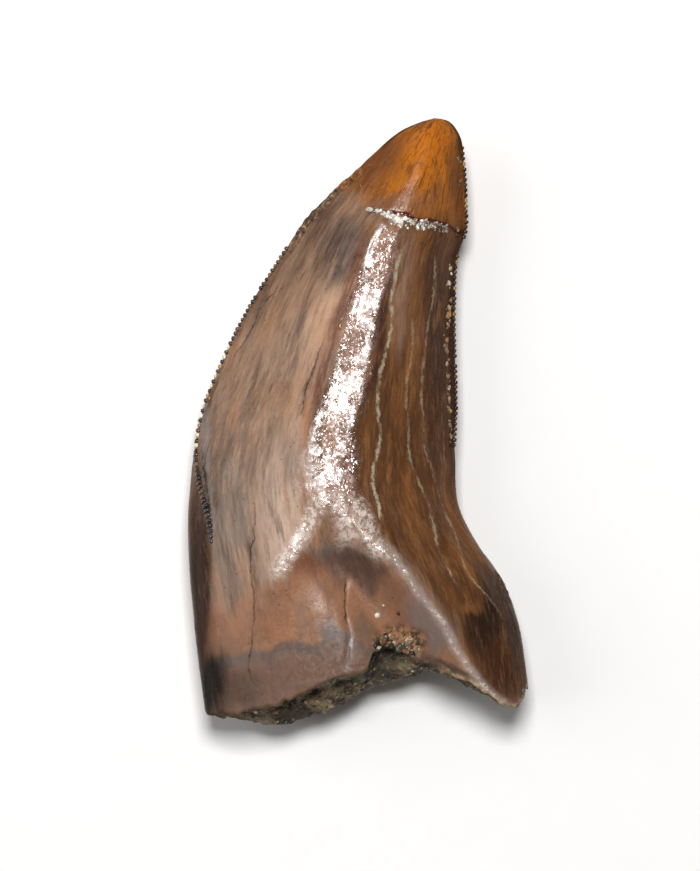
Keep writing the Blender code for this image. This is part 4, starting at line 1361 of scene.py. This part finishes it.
def makeRock():
    piece = addObject("rockFill", bpy.data.objects["sediment_fill"].data.copy())
    onWholeMesh(piece, bpy.ops.mesh.remove_doubles, threshold=rockLook["weld"] * mm)
    onWholeMesh(piece, bpy.ops.mesh.normals_make_consistent, inside=False)
    fuller = piece.modifiers.new("fuller", "DISPLACE")
    fuller.strength = rockLook["swell"] * mm
    fuller.mid_level = 0.0
    finer = piece.modifiers.new("finer", "REMESH")
    finer.mode = "VOXEL"
    finer.voxel_size = rockLook["voxel"] * mm
    for name, kind in (("lumps", "CLOUDS"), ("grains", "VORONOI")):
        depth, size = rockLook[name]
        texture = bpy.data.textures.new(name, kind)
        texture.noise_scale = size * mm
        bumpy = piece.modifiers.new(name, "DISPLACE")
        bumpy.texture = texture
        bumpy.strength = depth * mm
        bumpy.mid_level = rockLook["lumpMiddle"]
    applyModifiers(piece)
    keepInBox(piece)
    smoothSkin(piece)
    return piece


def makeSandstone():
    look = rockLook
    material, inputs = startMaterial("sandstone")
    place = placeInMm()
    flat = flatPlace(*split(place)[:2])
    coarse = noiseOf(place, *look["coarse"])
    fine = noiseOf(place, *look["fine"])
    green = rise(noiseOf(place, *look["greenSpots"]), 0.5, 0.66, 0.0, 0.6)
    colour = paint(rise(coarse, 0.42, 0.58), look["sandDark"], look["sandTan"])
    colour = paint(green, colour, look["sandGreen"])
    colour = paint(rise(fine, 0.56, 0.66, 0.0, 0.7), colour, look["sandPale"])
    colour = paint(rise(fine, 0.43, 0.34, 0.0, 0.7), colour, look["black"])
    for group, tone in (("palePatches", "sandPale"), ("darkPatches", "black")):
        for patch in look[group]:
            mask = times(stainMask(flat, *patch), rise(fine, 0.35, 0.55, 0.5, 0.9))
            colour = paint(mask, colour, look[tone])
    feed(inputs["Base Color"], colour)
    feed(inputs["Roughness"], rise(fine, 0.35, 0.7, 0.9, 0.55))
    normal = bumpOf(fine, look["fineDepth"])
    normal = bumpOf(noiseOf(place, *look["finest"]), look["finestDepth"], normal)
    feed(inputs["Normal"], normal)
    feed(inputs["Specular IOR Level"], look["specular"])
    return material


rock = makeRock()
dress(rock, makeSandstone(), "sediment", "sediment_fill")
print("rock made:", len(rock.data.polygons), "faces")


# grains on the rock and on the broken rim, crystals in the tip's crack, crumbs on the front edge

grit = {
    "seeds": {"rock": 9, "rim": 10, "crumbs": 11, "crystals": 12, "singles": 13},
    "lowY": -9.5,              # the rock and the rim get their grains below it
    "rockGrains": 620,
    "rockSizes": (0.07, 0.34),
    "rockTones": (0.05, 0.12, 0.3, 0.45, 0.5, 0.62, 0.72, 0.95),
    "rimGrains": 420,
    "rimSizes": (0.05, 0.2),
    "crumbs": 130,
    "crumbShares": (0.12, 0.29),
    "crumbReach": (1.3, 0.3),  # how far they lie behind and below the front edge
    "crumbSizes": (0.05, 0.17),
    "crumbTones": (0.05, 0.3, 0.55, 0.62, 0.7),
    "crumbSink": 0.3,          # the share of its size that it is let in
    "crystals": 270,
    "crystalSizes": (0.05, 0.36),
    "crystalSpan": (0.45, 4.1),       # from which x, and how far
    "crystalEdges": (0.08, 0.02),     # how far above the crack's foot and past its top
    "crystalDark": 0.75,
    "crystalSink": 0.15,
    # the crystals are painted palest round this x, partly as a painted glint
    "brightest": (2.05, 1.05, 0.26),  # the brightest crystal's x, its tone, the loss a mm away
    "stops": [
        (0.0, (0.01, 0.008, 0.007)), (0.22, (0.055, 0.045, 0.036)), (0.42, (0.105, 0.108, 0.075)),
        (0.58, (0.21, 0.135, 0.072)), (0.7, (0.33, 0.16, 0.05)), (0.86, (0.48, 0.4, 0.28)),
        (1.0, (0.72, 0.69, 0.62)),
    ],
    # the crack crystals' pale silver colours: partly their own colour, partly painted glints
    "silver": [
        (0.0, (0.045, 0.025, 0.018)), (0.35, (0.2, 0.155, 0.13)), (0.65, (0.56, 0.52, 0.44)),
        (1.0, (0.9, 0.88, 0.8)),
    ],
    # lumps on the broken patch above the notch
    "patch": ((2.15, -11.15), (1.15, 0.75)),
    "patchGrains": 80,
    "patchSizes": (0.16, 0.58),
    "patchTones": (0.03, 0.08, 0.14, 0.2, 0.48, 0.56, 0.62, 0.68, 0.8),
    "patchSink": 0.3,
    "beadGrowth": 1.35,
    "beadMates": 3,
    "mateReach": ((-0.16, 0.1), (-0.32, 0.32)),
    "mateSizes": (0.1, 0.24),
    "mateTones": (0.4, 1.1),
    "singleSink": 0.1,
    # roughness and specular
    "sandShine": (0.55, 0.4),
    "silverShine": (0.22, 0.7),
    "amberShine": (0.25, 0.5),
    # pale beads on the rear flank, partly their own colour and partly painted glints: place on the near side,
    # size, tone
    "beads": [
        ((4.68, 7.68), 0.22, 0.82), ((4.62, 6.95), 0.26, 0.86), ((4.7, 6.1), 0.2, 0.66),
        ((4.62, 5.72), 0.26, 0.84), ((4.58, 5.35), 0.36, 0.72), ((4.55, 4.85), 0.24, 0.6),
        ((4.5, 4.1), 0.22, 0.7), ((4.48, 3.55), 0.3, 0.55), ((4.5, 2.9), 0.18, 0.8),
        ((4.56, 2.3), 0.24, 0.58), ((4.6, 1.7), 0.16, 0.85), ((4.62, 1.15), 0.26, 0.62),
        ((4.68, 0.55), 0.2, 0.72), ((4.66, -0.15), 0.24, 0.56), ((4.7, -0.75), 0.2, 0.66),
        ((5.05, 9.6), 0.16, 0.62), ((5.22, 12.1), 0.14, 0.66), ((5.2, 13.0), 0.12, 0.6),
    ],
    # single grains: place on the near side, size, tone
    "singles": [
        ((1.0, -9.6), 0.34, 0.92), ((1.7, -11.75), 0.34, 0.71), ((8.3, -13.4), 0.3, 0.42),
        ((7.35, -8.1), 0.26, 0.72), ((-7.4, 1.2), 0.2, 0.78), ((2.05, -9.5), 0.22, 0.02),
        ((-4.15, -14.95), 0.24, 0.98), ((1.3, -9.1), 0.16, 0.85),
    ],
}


def makeGrit():
    pebbles, shards = makePebbles("pebbles"), makePebbles("shards")
    sand = makeToned("sandGrain", grit["stops"], *grit["sandShine"])
    silver = makeToned("crackCrystal", grit["silver"], *grit["silverShine"])
    amber = makeToned("singleGrain", grit["stops"], *grit["amberShine"])
    bpy.context.view_layer.update()
    skin = np.empty(len(crown.data.vertices), dtype=np.float32)
    crown.data.attributes["skin"].data.foreach_get("value", skin)

    def isLow(face):
        return face.center.y < grit["lowY"] * mm

    def isRim(face):
        return isLow(face) and skin[face.vertices[0]] < 0.5

    dice = random.Random(grit["seeds"]["rock"])
    onRock = spotsOnFaces(rock, crown, grit["rockGrains"], dice, isLow)
    grains = strew(pebbles, onRock, dice, grit["rockSizes"], grit["rockTones"])
    dice = random.Random(grit["seeds"]["rim"])
    onRim = spotsOnFaces(crown, rock, grit["rimGrains"], dice, isRim)
    grains += strew(pebbles, onRim, dice, grit["rimSizes"], grit["rockTones"])
    sandGrains = joinAs("sandGrains", grains)
    keepInBox(sandGrains)
    dress(sandGrains, sand, "sediment")

    dice = random.Random(grit["seeds"]["crumbs"])
    behind, below = grit["crumbReach"]
    places = []
    for _ in range(grit["crumbs"]):
        x, y = tracks["edges"](np.array(dice.uniform(*grit["crumbShares"])))[:2]
        places.append((x + dice.random() ** 2 * behind, y - dice.uniform(0.0, below)))
    crumbs = strew(pebbles, spotsUnder(crown, places), dice, grit["crumbSizes"], grit["crumbTones"],
                   grit["crumbSink"])
    dress(joinAs("edgeCrumbs", crumbs), sand, "enamel")

    dice = random.Random(grit["seeds"]["crystals"])
    start, span = grit["crystalSpan"]
    above, past = grit["crystalEdges"]
    places = []
    for _ in range(grit["crystals"]):
        x = start + span * dice.random()
        foot, top = (np.interp(x, *zip(*markLines[name])) for name in ("tipCrackFoot", "tipCrack"))
        places.append((x, dice.uniform(foot + above, top + past)))
    crystals = []
    brightX, brightTone, loss = grit["brightest"]
    for spot, out in spotsUnder(crown, places):
        tone = brightTone - loss * abs(spot.x - brightX) - grit["crystalDark"] * dice.random() ** 2
        crystals += strew(shards, [(spot, out)], dice, grit["crystalSizes"], (tone,), grit["crystalSink"])
    dress(joinAs("crackCrystals", crystals), silver, "sediment")

    dice = random.Random(grit["seeds"]["singles"])
    singles = []

    def addSingle(at, size, tone):
        sink = grit["singleSink"]
        singles.extend(strew(pebbles, spotsUnder(crown, [at]), dice, (size, size), (tone,), sink))

    for middle, size, tone in grit["beads"]:
        addSingle(middle, size * grit["beadGrowth"], tone)
        for _ in range(grit["beadMates"]):
            at = tuple(c + dice.uniform(*reach) for c, reach in zip(middle, grit["mateReach"]))
            addSingle(at, dice.uniform(*grit["mateSizes"]), tone * dice.uniform(*grit["mateTones"]))
    for single in grit["singles"]:
        addSingle(*single)
    middle, reach = grit["patch"]
    places = []
    for _ in range(grit["patchGrains"]):
        turn, away = dice.uniform(0, 2 * pi), dice.random() ** 0.7
        x, y = reach[0] * away * np.cos(turn), reach[1] * away * np.sin(turn)
        places.append((middle[0] + x, middle[1] + y))
    singles += strew(pebbles, spotsUnder(crown, places), dice, grit["patchSizes"], grit["patchTones"],
                     grit["patchSink"])
    singleGrains = joinAs("singleGrains", singles)
    keepInBox(singleGrains)
    dress(singleGrains, amber, "sediment")
    discard(pebbles + shards)
    return len(grains), len(crumbs), len(crystals), len(singles)


print("grit made:", *makeGrit())


# the camera, the lights and the floor

studio = {
    "cameraHeight": 0.3,
    "viewCentre": (-0.00035, -0.000675),
    "viewHeight": 0.04355,        # what the picture's long side shows at the tooth's middle
    "sensor": 36.0,
    "lamps": {
        "key": {"at": (0.0, 0.073, 0.291), "size": (0.072, 0.068), "watts": 0.95},
        "left": {"at": (-0.27, 0.05, 0.22), "size": (0.26, 0.3), "watts": 0.42},
    },
    "world": (0.12, 0.12, 0.12),
    "floor": (0.82, 0.81, 0.8),
    "floorShade": 0.97,
    "floorSize": 4.0,
}


def makeStudio():
    scene = bpy.context.scene
    scene.view_settings.view_transform = "Standard"
    cameraData = bpy.data.cameras.new("camera")
    camera = scene.camera = addObject("camera", cameraData)
    camera.location = (*studio["viewCentre"], studio["cameraHeight"])
    middle = (cadBox[0].z + cadBox[1].z) / 2
    cameraData.sensor_width = studio["sensor"]
    cameraData.lens = studio["sensor"] * (studio["cameraHeight"] - middle) / studio["viewHeight"]
    cameraData.clip_start = 0.01
    cameraData.clip_end = 20.0
    for name, lamp in studio["lamps"].items():
        data = bpy.data.lights.new(name, "AREA")
        data.shape = "RECTANGLE"
        data.size, data.size_y = lamp["size"]
        data.energy = lamp["watts"]
        light = addObject(name, data)
        light.location = lamp["at"]
        light.rotation_euler = (-Vector(lamp["at"])).to_track_quat("-Z", "Y").to_euler()
    world = scene.world = scene.world or bpy.data.worlds.new("studio")
    world.use_nodes = True
    background = world.node_tree.nodes.get("Background")
    if background is None:
        background = world.node_tree.nodes.new("ShaderNodeBackground")
        out = world.node_tree.nodes.new("ShaderNodeOutputWorld")
        world.node_tree.links.new(background.outputs[0], out.inputs[0])
    background.inputs["Color"].default_value = (*studio["world"], 1.0)
    background.inputs["Strength"].default_value = 1.0


def makeFloor():
    pick()
    bpy.ops.mesh.primitive_plane_add(size=studio["floorSize"])
    floor = bpy.context.object
    floor.name = "floor"
    material, inputs = startMaterial("paleFloor")
    grain = noiseOf(placeInMm(), 0.4, 3.0, 0.6)
    shade = tuple(c * studio["floorShade"] for c in studio["floor"])
    feed(inputs["Base Color"], paint(grain, studio["floor"], shade))
    feed(inputs["Roughness"], 0.9)
    feed(inputs["Specular IOR Level"], 0.1)
    floor.data.materials.append(material)


makeStudio()
makeFloor()
print("camera, lights and floor made")
